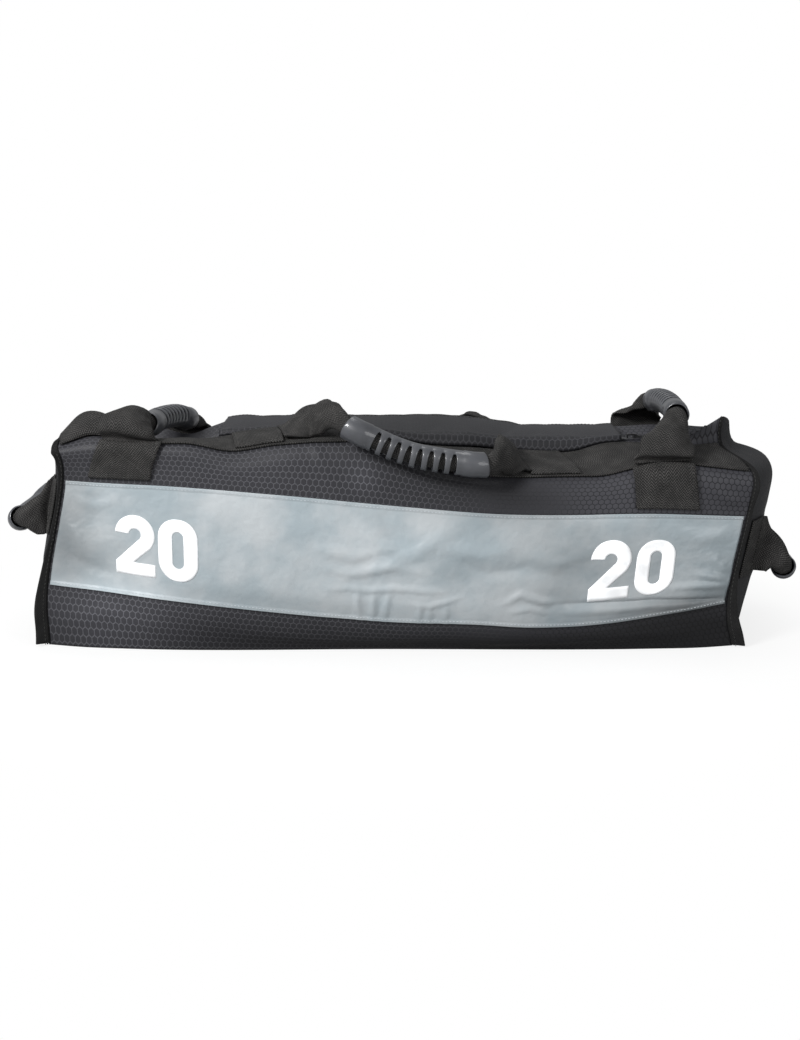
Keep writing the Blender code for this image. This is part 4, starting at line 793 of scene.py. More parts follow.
RUBBER = moulded("grip_rubber", (0.046, 0.048, 0.054), 0.42, 1800.0, 0.00005, coat=0.4)
ENAMEL = moulded(
    "coated_steel", (0.030, 0.030, 0.032), 0.30, 900.0, 0.00004, coat=0.4, metallic=0.6, worn=(0.10, 0.10, 0.10)
)
COIL = moulded("zip_coil", (0.022, 0.022, 0.024), 0.34, 1500.0, 0.00003)
FILM = moulded("numeral_film", (0.84, 0.85, 0.86), 0.5, 1200.0, 0.00003)
PALE_THREAD = moulded("pale_thread", (0.40, 0.43, 0.45), 0.70, 3000.0, 0.00005)
DARK_THREAD = moulded("dark_thread", (0.020, 0.020, 0.019), 0.70, 3000.0, 0.00005)
SAND = moulded("sand", (0.44, 0.35, 0.22), 0.95, 1400.0, 0.0006, worn=(0.62, 0.54, 0.40))
print("seven moulded, spun and loose finishes")

# %% [markdown]
# ## From grids to sewn pieces
# Nearly all of the bag is sheets, so one helper makes a sheet: a grid of points becomes quads with
# the flat cloth as their UV map, Solidify gives the cloth its thickness, and the piece is tied to
# its body, its finish and the solid that it stands for. Another helper writes down the flat cut.

# %% Helpers for sheets
def grid_object(name, points, flat, turn, material, shade=None):
    """A mesh object from a grid of points, with the flat cloth as its UV map in metres."""
    steps_i, steps_j = points.shape[0] - 1, points.shape[1] - 1
    index = np.arange((steps_i + 1) * (steps_j + 1)).reshape(steps_i + 1, steps_j + 1)
    corners = [index[:-1, :-1], index[1:, :-1], index[1:, 1:], index[:-1, 1:]]
    if turn < 0:
        corners.reverse()
    faces = np.stack([c.ravel() for c in corners], -1)
    mesh = bpy.data.meshes.new(name)
    mesh.from_pydata(points.reshape(-1, 3).tolist(), [], faces.tolist())
    layer = mesh.uv_layers.new(name="cloth")
    layer.data.foreach_set("uv", flat.reshape(-1, 2)[faces.ravel()].astype(np.float32).ravel())
    mesh.polygons.foreach_set("use_smooth", [True] * len(mesh.polygons))
    if shade is not None:
        written = mesh.attributes.new("shade", "FLOAT", "POINT")
        written.data.foreach_set("value", shade.astype(np.float32).ravel())
    mesh.materials.append(material)
    return add_object(name, mesh)


def place_piece(piece, body="bag", stands_for=()):
    """Ties a piece to its body and hides the solids it stands for. A piece given no body is tied to none."""
    if body:
        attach(piece, body)
    if stands_for:
        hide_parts(*stands_for)


def thicken(piece, thickness, offset=1.0, even=False):
    solid = piece.modifiers.new("thickness", "SOLIDIFY")
    solid.thickness, solid.offset, solid.use_even_offset = thickness, offset, even


def grid_area(points):
    """Area of a grid of points, for the flat size of the cloth."""
    a, b = points[1:, 1:] - points[:-1, :-1], points[:-1, 1:] - points[1:, :-1]
    return float(np.linalg.norm(np.cross(a, b), axis=2).sum() / 2)


cut_sizes = {}


def declare_sheet(piece, points, flat):
    """Writes down the size to which the sheet was cut."""
    wide, high = (float(np.ptp(flat[..., k])) for k in (0, 1))
    area = float(np.clip(grid_area(points), 0.31 * wide * high, wide * high))
    cut_sizes[piece.name] = (round(wide, 3), round(high, 3))
    if min(wide, high) < 0.01:
        return


def lay_sheet(name, points, flat, turn, material, thickness, offset=1.0,
              body="bag", shade=None):
    """A grid made into cloth. It stands for the solid whose name it has before its last word."""
    piece = grid_object(name, points, flat, turn, material, shade)
    thicken(piece, thickness, offset)
    place_piece(piece, body, [name.rsplit("_", 1)[0]])
    declare_sheet(piece, points, flat)


def sewn_sheet(name, cloth, columns, rows, lift, thickness, material, offset=1.0):
    """A sheet laid on a panel's own grid, at a height over it."""
    columns, rows = np.broadcast_arrays(columns, rows)
    flat = cloth.flat(columns, rows)
    # Each sheet carries its panel's patches of painted shade and light, written as its shade.
    lay_sheet(name, cloth.at(columns, rows, lift), flat, cloth.turn, material, thickness,
              offset, shade=painted_shade_at(flat, cloth.painted_shade))


print("helpers ready")

# %% [markdown]
# ## The panels
# Front and back run from the base seam up, over the shoulder and down to the zip in one piece.
# The ends are set between them, and the base closes the bottom. Each is the fine grid itself.

# %% Front, back and ends
for name, cloth, material, nearest in (
    ("front", front, HEX, 1), ("back", back, HEX, 4), ("left_end", left_end, PLAIN, 1),
    ("right_end", right_end, PLAIN, 4),
):
    sewn_sheet(
        f"{name}_panel_cloth", cloth, cloth.columns[:, None], cloth.rows[None, :], 0.0, CLOTH, material,
        -1.0,
    )
print("four panels")

# %% The base
BASE_COLUMNS = np.linspace(0.004, 0.996, 121)
inset = CLOTH + LAP
front_edge, back_edge = front.at(BASE_COLUMNS, 0.0), back.at(BASE_COLUMNS, 0.0)
blend = np.linspace(0, 1, 31)[None, :, None]
front_edge, back_edge = front_edge[:, None] + [0, inset, 0], back_edge[:, None] - [0, inset, 0]
base_points = front_edge * (1 - blend) + back_edge * blend
base_points[..., 2] = 0.0002
lay_sheet("base_panel_cloth", base_points, base_points[..., :2].copy(), -1, PLAIN,
          0.0013, -1.0)
print("base", cut_sizes["base_panel_cloth"])

# %% [markdown]
# ## Rows of stitches
# Every seam is held by thread that shows as short capsules in a row. That repeats hundreds of
# times, so Geometry Nodes make it: a line of points becomes a curve, the curve is resampled at the
# stitch pitch, and a small capsule is set on each point and turned along the line.

# %% A tree that sews
def repeating_tree(name, numbers, finish, grown, shape):
    """A tree that repeats one small shape along a line. shape() adds that shape to the tree."""
    tree = bpy.data.node_groups.new(name, "GeometryNodeTree")
    sockets = [
        ("Line", "INPUT", "Geometry"), *((label, "INPUT", "Float") for label in numbers),
        (finish, "INPUT", "Material"), (grown, "OUTPUT", "Geometry"),
    ]
    for label, way, kind in sockets:
        tree.interface.new_socket(name=label, in_out=way, socket_type=f"NodeSocket{kind}")
    add, link = tree.nodes.new, tree.links.new
    given, result = add("NodeGroupInput"), add("NodeGroupOutput")
    curve, points = add("GeometryNodeMeshToCurve"), add("GeometryNodeResampleCurve")
    spread, real = add("GeometryNodeInstanceOnPoints"), add("GeometryNodeRealizeInstances")
    paint = add("GeometryNodeSetMaterial")
    points.mode = "LENGTH"
    link(given.outputs["Line"], curve.inputs["Mesh"])
    link(curve.outputs["Curve"], points.inputs["Curve"])
    link(given.outputs["Pitch"], points.inputs["Length"])
    link(points.outputs["Curve"], spread.inputs["Points"])
    link(spread.outputs["Instances"], real.inputs["Geometry"])
    link(real.outputs["Geometry"], paint.inputs["Geometry"])
    link(given.outputs[finish], paint.inputs["Material"])
    link(paint.outputs["Geometry"], result.inputs[grown])
    shape(add, link, given, spread)
    return tree


def capsule(add, link, given, spread):
    """A stitch: a small ball, stretched along the line."""
    ball, size = add("GeometryNodeMeshUVSphere"), add("ShaderNodeCombineXYZ")
    tangent, turn = add("GeometryNodeInputTangent"), add("FunctionNodeAlignRotationToVector")
    for socket, value in (("Segments", 6), ("Rings", 4), ("Radius", 0.5)):
        ball.inputs[socket].default_value = value
    for axis, label in (("X", "Thickness"), ("Y", "Thickness"), ("Z", "Length")):
        link(given.outputs[label], size.inputs[axis])
    turn.axis = "Z"
    link(tangent.outputs["Tangent"], turn.inputs["Vector"])
    link(ball.outputs["Mesh"], spread.inputs["Instance"])
    link(turn.outputs["Rotation"], spread.inputs["Rotation"])
    link(size.outputs["Vector"], spread.inputs["Scale"])


SEWING = repeating_tree("sewing", ("Pitch", "Length", "Thickness"), "Thread", "Stitches", capsule)


def grown_from(tree, name, lines, values, material):
    """Runs a tree on lines of points and returns its result as a plain mesh object."""
    points, edges = [], []
    for line in lines:
        start = len(points)
        points += [tuple(p) for p in line]
        edges += [(start + k, start + k + 1) for k in range(len(line) - 1)]
    seed = bpy.data.meshes.new(f"{name}_lines")
    seed.from_pydata(points, edges, [])
    source = add_object(f"{name}_lines", seed)
    grow = source.modifiers.new("grow", "NODES")
    grow.node_group = tree
    sockets = {s.name: s.identifier for s in tree.interface.items_tree if s.in_out == "INPUT"}
    for label, value in values.items():
        grow[sockets[label]] = value
    bpy.context.view_layer.update()
    mesh = bpy.data.meshes.new_from_object(source.evaluated_get(bpy.context.evaluated_depsgraph_get()))
    mesh.name = name
    if not mesh.materials:
        mesh.materials.append(material)
    source.modifiers.remove(grow)
    bpy.data.objects.remove(source)
    mesh.polygons.foreach_set("use_smooth", [True] * len(mesh.polygons))
    return add_object(name, mesh)


def stitches(name, lines, thread, body="bag", pitch=0.0034, length=0.0026, thickness=0.0007):
    """Rows of stitches along lines of points."""
    values = {"Pitch": pitch, "Length": length, "Thickness": thickness, "Thread": thread}
    made = grown_from(SEWING, name, lines, values, thread)
    print(name, len(made.data.polygons), "faces")
    place_piece(made, body)


print("sewing tree with", len(SEWING.nodes), "nodes")

# %% [markdown]
# ## The band and its numerals
# A wide satin band is topstitched over the front along both its edges. Its numerals give the
# weight, and such a plain number belongs to any weight. A zero is a ring between two rounded
# outlines, and a two is a ribbon bent round an arc with a bar under it. Their points are worked
# out on the flat cloth and then laid on the bag, so they bend as the band does.

# %% The bands
EDGE = 0.004 / BAG_LENGTH
HEM, HEM_RISE = 0.048, 0.0005
band_columns = np.linspace(EDGE, 1 - EDGE, 379)[:, None]
hem_rows = np.array([0, 0.006, HEM - 0.008, HEM])
band_rows = np.concatenate([1 + hem_rows, np.linspace(1.06, 1.94, 63), 2 - hem_rows[::-1]])[None, :]
doubled = np.clip((HEM - np.minimum(band_rows - 1, 2 - band_rows)) / 0.008, 0, 1)
band_lift = LAP + HEM_RISE * doubled
for name, cloth in (("front", front), ("back", back)):
    sewn_sheet(f"{name}_band_cloth", cloth, band_columns, band_rows, band_lift, BAND_CLOTH, SATIN)

seam_columns = np.linspace(EDGE * 1.3, 1 - EDGE * 1.3, 400)
for name, cloth in (("front", front), ("back", back)):
    lines = [cloth.at(seam_columns, row, LAP + BAND_CLOTH + HEM_RISE) for row in (1.033, 1.967)]
    stitches(f"{name}_band_stitches", lines, PALE_THREAD, "bag", 0.0031, 0.0021, 0.0006)
print("bands", cut_sizes["front_band_cloth"])

# %% The numerals
DIGIT_WIDTH, DIGIT_HEIGHT = 0.0345, 0.0525
STEM, BAR = 0.0123, 0.0107
FILM_RISE, FILM_CLOTH = 0.00022, 0.00012


def rounded_outline(wide, high, corner, count=19):
    """Points round an upright box with round corners, centred on zero, from the right side's foot."""
    points = []
    for quarter, (x, y) in enumerate(((1, 1), (-1, 1), (-1, -1), (1, -1))):
        for turn in np.linspace(0, math.pi / 2, count) + quarter * math.pi / 2:
            points.append((x * (wide / 2 - corner) + corner * math.cos(turn),
                           y * (high / 2 - corner) + corner * math.sin(turn)))
    return np.array([*points, points[0]])


def zero_patches():
    """The points of a zero, as a ring between two outlines."""
    outer = rounded_outline(DIGIT_WIDTH, DIGIT_HEIGHT, DIGIT_WIDTH * 0.47)
    hollow = DIGIT_WIDTH - 2 * STEM
    inner = rounded_outline(hollow, DIGIT_HEIGHT - 2 * BAR, hollow * 0.49)
    mix = np.linspace(0, 1, 7)[None, :, None]
    return [outer[:, None] * (1 - mix) + inner[:, None] * mix + [DIGIT_WIDTH / 2, DIGIT_HEIGHT / 2]]


def two_patches():
    """The points of a two, as a bent ribbon and the bar at its foot."""
    radius, heel = DIGIT_WIDTH / 2, STEM * 1.28
    centre = np.array([radius, DIGIT_HEIGHT - radius])
    turns = np.linspace(math.pi * 0.985, -math.radians(40), 30)
    ray = np.stack([np.cos(turns), np.sin(turns)], -1)
    outer, inner = centre + ray * radius, centre + ray * (radius - STEM * 0.98)
    drop = np.linspace(BAR, 0, 5)
    outer, inner = (
        np.concatenate([edge, np.linspace(edge[-1], (x, BAR), 14)[1:-1], [(x, y) for y in drop]])
        for edge, x in ((outer, heel), (inner, 0.0))
    )
    mix = np.linspace(0, 1, 7)[None, :, None]
    ribbon = outer[:, None] * (1 - mix) + inner[:, None] * mix
    x, y = np.meshgrid(np.linspace(DIGIT_WIDTH, heel, 12), drop[::-1], indexing="ij")
    return [ribbon, np.stack([x, y], -1)]


def numeral(name, patches, left, foot, scale, slant, tilt):
    """Lays a numeral on the band, from its left side along the bag and its foot over the base seam."""
    pieces = []
    for k, patch in enumerate(patches):
        x, y = patch[..., 0] * scale[0], patch[..., 1] * scale[1]
        _, rows = front.lines(np.stack([0 * x, foot + y + tilt * x], -1))
        columns = share_at(left + x + slant * y, rows)
        points = front.at(columns, rows, LAP + BAND_CLOTH + FILM_RISE)
        pieces.append(grid_object(f"{name}_{k}", points, front.flat(columns, rows), 1, FILM))
    merged = bmesh.new()
    for piece in pieces:
        merged.from_mesh(piece.data)
    bmesh.ops.remove_doubles(merged, verts=merged.verts, dist=0.00005)
    merged.to_mesh(pieces[0].data)
    merged.free()
    for piece in pieces[1:]:
        bpy.data.objects.remove(piece)
    pieces[0].name = name
    thicken(pieces[0], FILM_CLOTH)
    place_piece(pieces[0])


for name, patches, left, foot, scale, slant, tilt in (
    ("left_two", two_patches(), -0.2346, 0.0548, (1.0, 1.0), 0.0, -0.02),
    ("left_zero", zero_patches(), -0.1972, 0.0540, (1.0, 1.0), 0.0, -0.02),
    ("right_two", two_patches(), 0.1706, 0.0590, (1.02, 1.0), 0.075, 0.02),
    ("right_zero", zero_patches(), 0.2098, 0.0590, (0.99, 0.99), 0.085, 0.01),
):
    numeral(name, patches, left, foot, scale, slant, tilt)
print("numerals are", round(DIGIT_HEIGHT * 1000, 1), "mm high")

# %% [markdown]
# ## The long straps
# A strap of 50 mm webbing runs along each shoulder and carries the handles that lie along the bag.
# At the left of the front its free end is folded up on edge, so there its cross-section turns
# from flat to a tall narrow arch.

# %% Long straps
# Heights over the cloth: the long straps, the tails on them, the tails on the cloth, and thread.
STRAP_LIFT, TAIL_LIFT, PATCH_LIFT, THREAD_RISE = 0.0011, 0.0033, 0.0006, 0.00005
# How high the free end's fold stands, and how much of its width the fold takes up.
RIDGE_HEIGHT, RIDGE_GATHER = 0.022, 0.72
STRAP_SEAMS, TAIL_SEAM = (0.06, 0.94), 0.07


def strap_sheet(name, cloth, columns, ridge):
    """A long strap. ridge says how far it is folded up on edge, from 0 to 1, at each column."""
    shares = np.linspace(0, 1, 33)
    drawn = 0.5 + (shares[None, :] - 0.5) * (1 - RIDGE_GATHER * ridge[:, None])
    rise = ridge[:, None] * RIDGE_HEIGHT * np.sin(math.pi * shares[None, :]) ** 0.8
    points = cloth.at(columns[:, None], 3 + drawn, STRAP_LIFT + rise)
    flat = np.stack(np.meshgrid(shares * WEBBING_WIDTH, cloth.flat(columns, 0)[:, 0]), -1)
    lay_sheet(f"{name}_webbing", points, flat, cloth.turn, WEB,
              WEBBING)
    level = columns[ridge < 0.01]
    lines = [cloth.at(level, 3 + s, STRAP_LIFT + WEBBING + THREAD_RISE) for s in STRAP_SEAMS]
    stitches(f"{name}_stitches", lines, DARK_THREAD)


strap_columns = np.linspace(EDGE, 1 - EDGE, 261)
strap_sheet("front_long_strap", front, strap_columns, np.clip(smooth(RIDGE_SHARES, strap_columns), 0, 1))
strap_sheet("back_long_strap", back, strap_columns, np.zeros(len(strap_columns)))
print("straps", cut_sizes["front_long_strap_webbing"])

# %% [markdown]
# ## The sewn tails
# Each handle's webbing ends in two tails that are sewn flat, with thread round their edges and a
# cross from corner to corner. Tails on the long straps lie at the strap's height, tails of the
# handles across the bag lie on the cloth under it, and those of the end handles on the ends.

# %% Tails with a sewn cross
# Rows of the skin, counted in seams: the middle of a long strap, its sewn part, and the patches.
STRAP_MIDDLE, STRAP_SEWN, PATCH_FOOT, PATCH_HIGH = 3.5, (3.03, 0.94), 2.07, 0.90
PATCH_TOP = 2.97


def sewn_tail(name, cloth, spot, cross=True):
    """spot(s, t) gives column, row and height, with s and t from 0 to 1 across and along."""
    s, t = np.meshgrid(np.linspace(0, 1, 25), np.linspace(0, 1, 33), indexing="ij")
    columns, rows, lift = spot(s, t)
    points = cloth.at(columns, rows, lift)
    flat = cloth.flat(columns, rows)
    faces_out = np.cross(np.gradient(points, axis=0), np.gradient(points, axis=1))
    turn = np.sign(np.sum(faces_out * (cloth.at(columns, rows, lift + 0.001) - points)))
    lay_sheet(f"{name}_webbing", points, flat, turn, WEB, WEBBING)
    ends, side = np.linspace(TAIL_SEAM, 1 - TAIL_SEAM, 30), np.full(30, TAIL_SEAM)
    lines = [(ends, side), (ends, 1 - side), (side, ends), (1 - side, ends)]
    if cross:
        lines += [(ends, ends), (ends, ends[::-1])]
    threads = []
    for a, b in lines:
        columns, rows, lift = spot(a, b)
        threads.append(cloth.at(columns, rows, lift + WEBBING + THREAD_RISE))
    stitches(f"{name}_stitches", threads, DARK_THREAD, pitch=0.0031)


def long_tail(x_low, x_high):
    """A tail on a long strap."""
    def spot(s, t):
        columns = share_at(x_low + (x_high - x_low) * t, STRAP_MIDDLE)
        return columns, STRAP_SEWN[0] + STRAP_SEWN[1] * s, np.full(s.shape, TAIL_LIFT)
    return spot


def patch(shares):
    """A tail of a handle across the bag, from the cloth up on to the strap."""
    lower, upper = shares

    def spot(s, t):
        ends = [lower[k] * (1 - t) + upper[k] * t for k in (0, 1)]
        x = (ends[0] * (1 - s) + ends[1] * s) * BAG_LENGTH / 2
        rows = PATCH_FOOT + PATCH_HIGH * t
        return share_at(x, rows), rows, PATCH_LIFT * (1 - t**2) + TAIL_LIFT * t**2
    return spot


def end_tail(cloth, side, heights):
    """A tail on an end of the bag, and the row of its middle."""
    outer, inner = END_TAIL_WIDTH_SHARES
    levels = cloth.at(side * inner, cloth.rows)[:, 2]
    wall = cloth.rows <= 3
    low, high = (float(np.interp(h * BAG_HEIGHT, levels[wall], cloth.rows[wall])) for h in heights)

    def spot(s, t):
        return side * (outer + (inner - outer) * s), low + (high - low) * t, np.full(s.shape, PATCH_LIFT)
    return spot, (low + high) / 2


HALF = BAG_LENGTH / 2
for face, cloth, tails in (("front", front, FRONT_TAIL_SHARES), ("back", back, BACK_TAIL_SHARES)):
    for where, (low, high) in zip(("left", "right"), tails):
        spot = long_tail(low * HALF, high * HALF)
        sewn_tail(f"{face}_handle_{where}_tail", cloth, spot)
for side, patches in (("left", LEFT_PATCH_SHARES), ("right", RIGHT_PATCH_SHARES)):
    for face, cloth, shares in (("front", front, patches[0]), ("back", back, patches[1])):
        sewn_tail(f"{side}_cross_handle_{face}_tail", cloth, patch(shares))
end_levels = {}
for side, cloth, heights in (
    ("left", left_end, LEFT_END_TAIL_SHARES), ("right", right_end, RIGHT_END_TAIL_SHARES),
):
    for face, way in (("front", -1), ("back", 1)):
        spot, end_levels[side, way] = end_tail(cloth, way, heights)
        sewn_tail(f"{side}_end_handle_{face}_tail", cloth, spot, cross=False)
print("twelve tails")

# %% [markdown]
# ## The handles
# Between its tails a handle's webbing is free. It rises flat from the tail, curls in on itself,
# runs as a roll through the moulded grip and opens again at the other side. The curl is one number
# from 0, flat, to 1, rolled up, and each cross-section is an arc of that much turn.

# %% The path of a handle
GRIP_LENGTH, GRIP_RADIUS, GRIP_WALL = 0.122, 0.0104, 0.0018
CUFF, WINDOWS, WINDOW, CUFF_SWELL = 0.023, 8, 0.0052, 0.0005
SLIT_HALF, RIM, RIM_SWELL, LIP, LIP_ANGLE = 0.0011, 0.0007, 0.00042, 0.0007, 0.30
ROLL_TURN, ROLL_RADIUS = math.tau * 0.94, 0.0069


class Root:
    """Where free webbing leaves its tail: the point, its outward way, its way on and its flat way.

    ahead and reach are steps in columns and rows, one along the webbing and one across it.
    """

    def __init__(self, cloth, column, row, ahead, lift, reach):
        self.point = cloth.at(column, row, lift)
        self.out = unit(cloth.at(column, row, 0.01) - cloth.at(column, row))
        self.way = unit(cloth.at(column + ahead[0], row + ahead[1]) - cloth.at(column, row))
        line = unit(cloth.at(column + reach[0], row + reach[1]) - cloth.at(column - reach[0], row - reach[1]))
        self.flat = line * np.sign(np.dot(line, np.cross(self.way, self.out)))


class Path:
    """A handle's middle line in small steps, with the way its outer face looks at each step."""

    def __init__(self, legs, start, end, leg_steps=30, grip_steps=30, lead=0.003):
        scale = np.array([BAG_LENGTH / 2, BAG_DEPTH / 2, BAG_HEIGHT])
        rows = [(*start.point, *start.out), (*(start.point + start.way * lead), *start.out)]
        counts = [len(rows)]
        for leg in legs:
            rows += [(*(np.array(row[:3]) * scale), *row[3:]) for row in leg]
            counts.append(len(rows))
        rows += [(*(end.point - end.way * lead), *end.out), (*end.point, *end.out)]
        rows = np.array(rows)
        places = distances(rows[:, :3])
        fine = np.linspace(0, places[-1], 500)
        dense = smooth(np.column_stack([places, rows]), fine)
        arc = distances(dense[:, :3])
        held = np.interp([places[counts[1]], places[counts[2] - 1]], fine, arc)
        self.length = arc[-1]
        self.start = float(held.mean()) - GRIP_LENGTH / 2
        self.end = self.start + GRIP_LENGTH
        self.places = np.unique(np.concatenate([
            np.linspace(0, self.start, leg_steps + 1), np.linspace(self.start, self.end, grip_steps + 1),
            np.linspace(self.end, self.length, leg_steps + 1)]))
        tracks = np.stack([np.interp(self.places, arc, dense[:, k]) for k in range(6)], -1)
        self.middle = tracks[:, :3]
        ways = unit(np.gradient(self.middle, self.places, axis=0))
        first, last, total = leg_steps, leg_steps + grip_steps, len(self.places) - 1
        outs = unit(tracks[:, 3:])
        acrosses = np.zeros_like(outs)
        for n in range(first, last + 1):
            outs[n] = unit(outs[n] - ways[n] * np.dot(outs[n], ways[n]))
            acrosses[n] = np.cross(ways[n], outs[n])
        for n in [*range(first), *range(last + 1, total + 1)]:
            if n < first:
                root, grip, share = start, first, n / first
            else:
                root, grip, share = end, last, (total - n) / (total - last)
            across = root.flat * (1 - share) + acrosses[grip] * share
            acrosses[n] = unit(across - outs[n] * np.dot(across, outs[n]))
        self.out, self.across = outs, acrosses

    def frame(self, place):
        """Middle, outward way and sideways way at a distance along the path."""
        parts = [np.stack([np.interp(place, self.places, track[:, k]) for k in range(3)], -1)
                 for track in (self.middle, self.out, self.across)]
        return parts[0], unit(parts[1]), unit(parts[2])

    def curl(self, place):
        """How far the webbing is rolled up there, from 0 to 1."""
        if self.start <= place <= self.end:
            return 1.0
        leg = place / self.start if place < self.start else (self.length - place) / (self.length - self.end)
        return 0.02 + 0.98 * leg**1.6


print("grip", GRIP_LENGTH * 1000, "mm long and", GRIP_RADIUS * 2000, "mm thick")

# %% The free webbing
def wrinkles(flat, seed):
    """Short wrinkles of bent webbing, at points on the flat webbing, in metres."""
    chance = np.random.default_rng(seed)
    total = np.zeros(flat.shape[:-1])
    for wave, height in ((0.034, 0.0008), (0.021, 0.0006), (0.013, 0.00035)):
        for _ in range(3):
            lean, phase = chance.uniform(-0.9, 0.9), chance.uniform(0, math.tau)
            along = flat[..., 1] * math.cos(lean) + flat[..., 0] * math.sin(lean)
            total += height / math.sqrt(3) * np.sin(math.tau * along / wave + phase)
    return total


def free_webbing(name, path):
    """The webbing between a handle's tails, curled into the grip."""
    rolled = ROLL_TURN * ROLL_RADIUS
    shares = np.linspace(-1, 1, 21)
    points = []
    for place in path.places:
        middle, out, across = path.frame(place)
        curl = path.curl(place)
        turn = ROLL_TURN * curl
        radius = (WEBBING_WIDTH * (1 - curl) + rolled * curl) / turn
        sink = math.sin(turn / 2) / (turn / 2)
        angles = shares * turn / 2
        points.append(middle + across * (radius * np.sin(angles))[:, None]
                      + out * (radius * (np.cos(angles) - sink))[:, None])
    points = np.array(points)
    flat = np.stack(np.meshgrid(shares * WEBBING_WIDTH / 2, path.places), -1)
    free = np.array([1 - path.curl(place) for place in path.places])
    ends = np.clip(np.minimum(path.places, path.length - path.places) / 0.010, 0, 1)
    faces_out = unit(np.cross(np.gradient(points, axis=1), np.gradient(points, axis=0)))
    loose = np.clip(free * 4, 0, 1) * ends
    points += faces_out * (wrinkles(flat, len(name)) * loose[:, None])[..., None]
    piece = grid_object(f"{name}_webbing", points, flat, 1, WEB)
    thicken(piece, WEBBING, 0.0)
    # A hinge between the sewn ends, and the way from it up to the grip's mouths, are worked out but not used.
    first, last = points[0].mean(0), points[-1].mean(0)
    hinge, line = (first + last) / 2, unit(last - first)
    rise = (path.frame(path.start)[0] + path.frame(path.end)[0]) / 2 - hinge
    rise -= line * np.dot(rise, line)
    tuple(hinge + rise * 0.05)
    tuple(hinge + rise * 0.85)
    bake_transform(piece)
    place_piece(piece, None, [name])
    declare_sheet(piece, points, flat)

# %% [markdown]
# ## The moulded grips
# A grip is a rubber tube, split along its finger side so that it can be slipped over the webbing.
# It has a plain cuff at each end and eight curved windows between them, through which the webbing
# shows. Rings of points follow the windows' curved edges, and the faces inside each are left out.

# %% The grips
def moulded_grip(body, path, steps=48, reach=13):
    """A grip of that many steps round. Its windows reach so many steps to each side."""
    half_gap = SLIT_HALF / GRIP_RADIUS
    angles = np.linspace(-math.pi + half_gap, math.pi - half_gap, steps + 1)
    columns = np.abs(np.arange(steps + 1) - steps // 2)
    opening = WINDOW / 2 * np.sqrt(np.clip(1 - (columns / reach) ** 2.4, 0.03, 1))
    pitch = (GRIP_LENGTH - 2 * CUFF) / WINDOWS
    near = np.clip(1.5 - columns / reach, 0, 1)
    still = np.zeros(steps + 1)
    cuff = [
        (0.0, -0.0006), (0.0003, 0.0), (0.0010, CUFF_SWELL), (CUFF * 0.5, CUFF_SWELL),
        (CUFF - 0.0034, CUFF_SWELL), (CUFF - 0.0026, 0.0),
    ]
    rings = [(place, still, swell) for place, swell in cuff]
    for n in range(WINDOWS):
        centre = CUFF + pitch * (n + 0.5)
        rings += [(centre, -opening - RIM, RIM_SWELL), (centre, -opening, 0.0), (centre, opening, 0.0),
                  (centre, opening + RIM, RIM_SWELL)]
    rings += [(GRIP_LENGTH - place, still, swell) for place, swell in reversed(cuff)]
    points = []
    for place, aside, swell in rings:
        middle, out, across = path.frame(path.start + place + aside)
        raised = near if abs(aside).max() > 0 else 1.0
        lip = LIP * (np.abs(angles) > math.pi - LIP_ANGLE)
        radius = (GRIP_RADIUS + swell * raised + lip)[..., None] * np.ones((steps + 1, 1))
        points.append(middle + (out * np.cos(angles)[:, None] + across * np.sin(angles)[:, None]) * radius)
    points = np.array(points)
    flat = np.stack(np.meshgrid(angles * GRIP_RADIUS, [r[0] for r in rings]), -1)
    piece = grid_object(f"{body}_moulded_grip", points, flat, -1, RUBBER)
    shell = bmesh.new()
    shell.from_mesh(piece.data)
    shell.faces.ensure_lookup_table()
    gone = []
    for n in range(WINDOWS):
        ring = len(cuff) + 4 * n + 1
        gone += [shell.faces[ring * steps + c] for c in range(steps // 2 - reach + 1, steps // 2 + reach - 1)]
    bmesh.ops.delete(shell, geom=gone, context="FACES")
    bmesh.ops.recalc_face_normals(shell, faces=shell.faces)
    shell.faces.ensure_lookup_table()
    middle = Vector(path.frame(path.start + 0.005)[0])
    nearest = min(shell.faces, key=lambda face: (face.calc_center_median() - middle).length)
    if nearest.normal.dot(nearest.calc_center_median() - middle) < 0:
        bmesh.ops.reverse_faces(shell, faces=shell.faces)
    shell.to_mesh(piece.data)
    shell.free()
    thicken(piece, GRIP_WALL, -1.0, True)
    soften = piece.modifiers.new("soft_edges", "BEVEL")
    soften.width, soften.segments = 0.00022, 2
    soften.limit_method, soften.angle_limit = "ANGLE", math.radians(50)
    place_piece(piece, body, [f"{body}_grip"])
    return piece


def handle(body, legs, start, end):
    path = Path(legs, start, end)
    grip = moulded_grip(body, path)
    free_webbing(f"{body}_strap", path)
    print(body, "path", round(path.length, 3), "m,", len(grip.data.polygons), "grip faces")


# %% Handles along the bag
TAIL_GAP = 0.0004
gap = TAIL_GAP / BAG_LENGTH
for face, cloth, tails, legs in (
    ("front", front, FRONT_TAIL_SHARES, FRONT_HANDLE_SHARES),
    ("back", back, BACK_TAIL_SHARES, BACK_HANDLE_SHARES),
):
    first = float(share_at(tails[0][1] * HALF, STRAP_MIDDLE)) + gap
    last = float(share_at(tails[1][0] * HALF, STRAP_MIDDLE)) - gap
    lift = TAIL_LIFT + WEBBING / 2
    ends = [Root(cloth, column, STRAP_MIDDLE, (0.0015, 0), lift, (0, 0.27)) for column in (first, last)]
    handle(f"{face}_handle", legs, *ends)

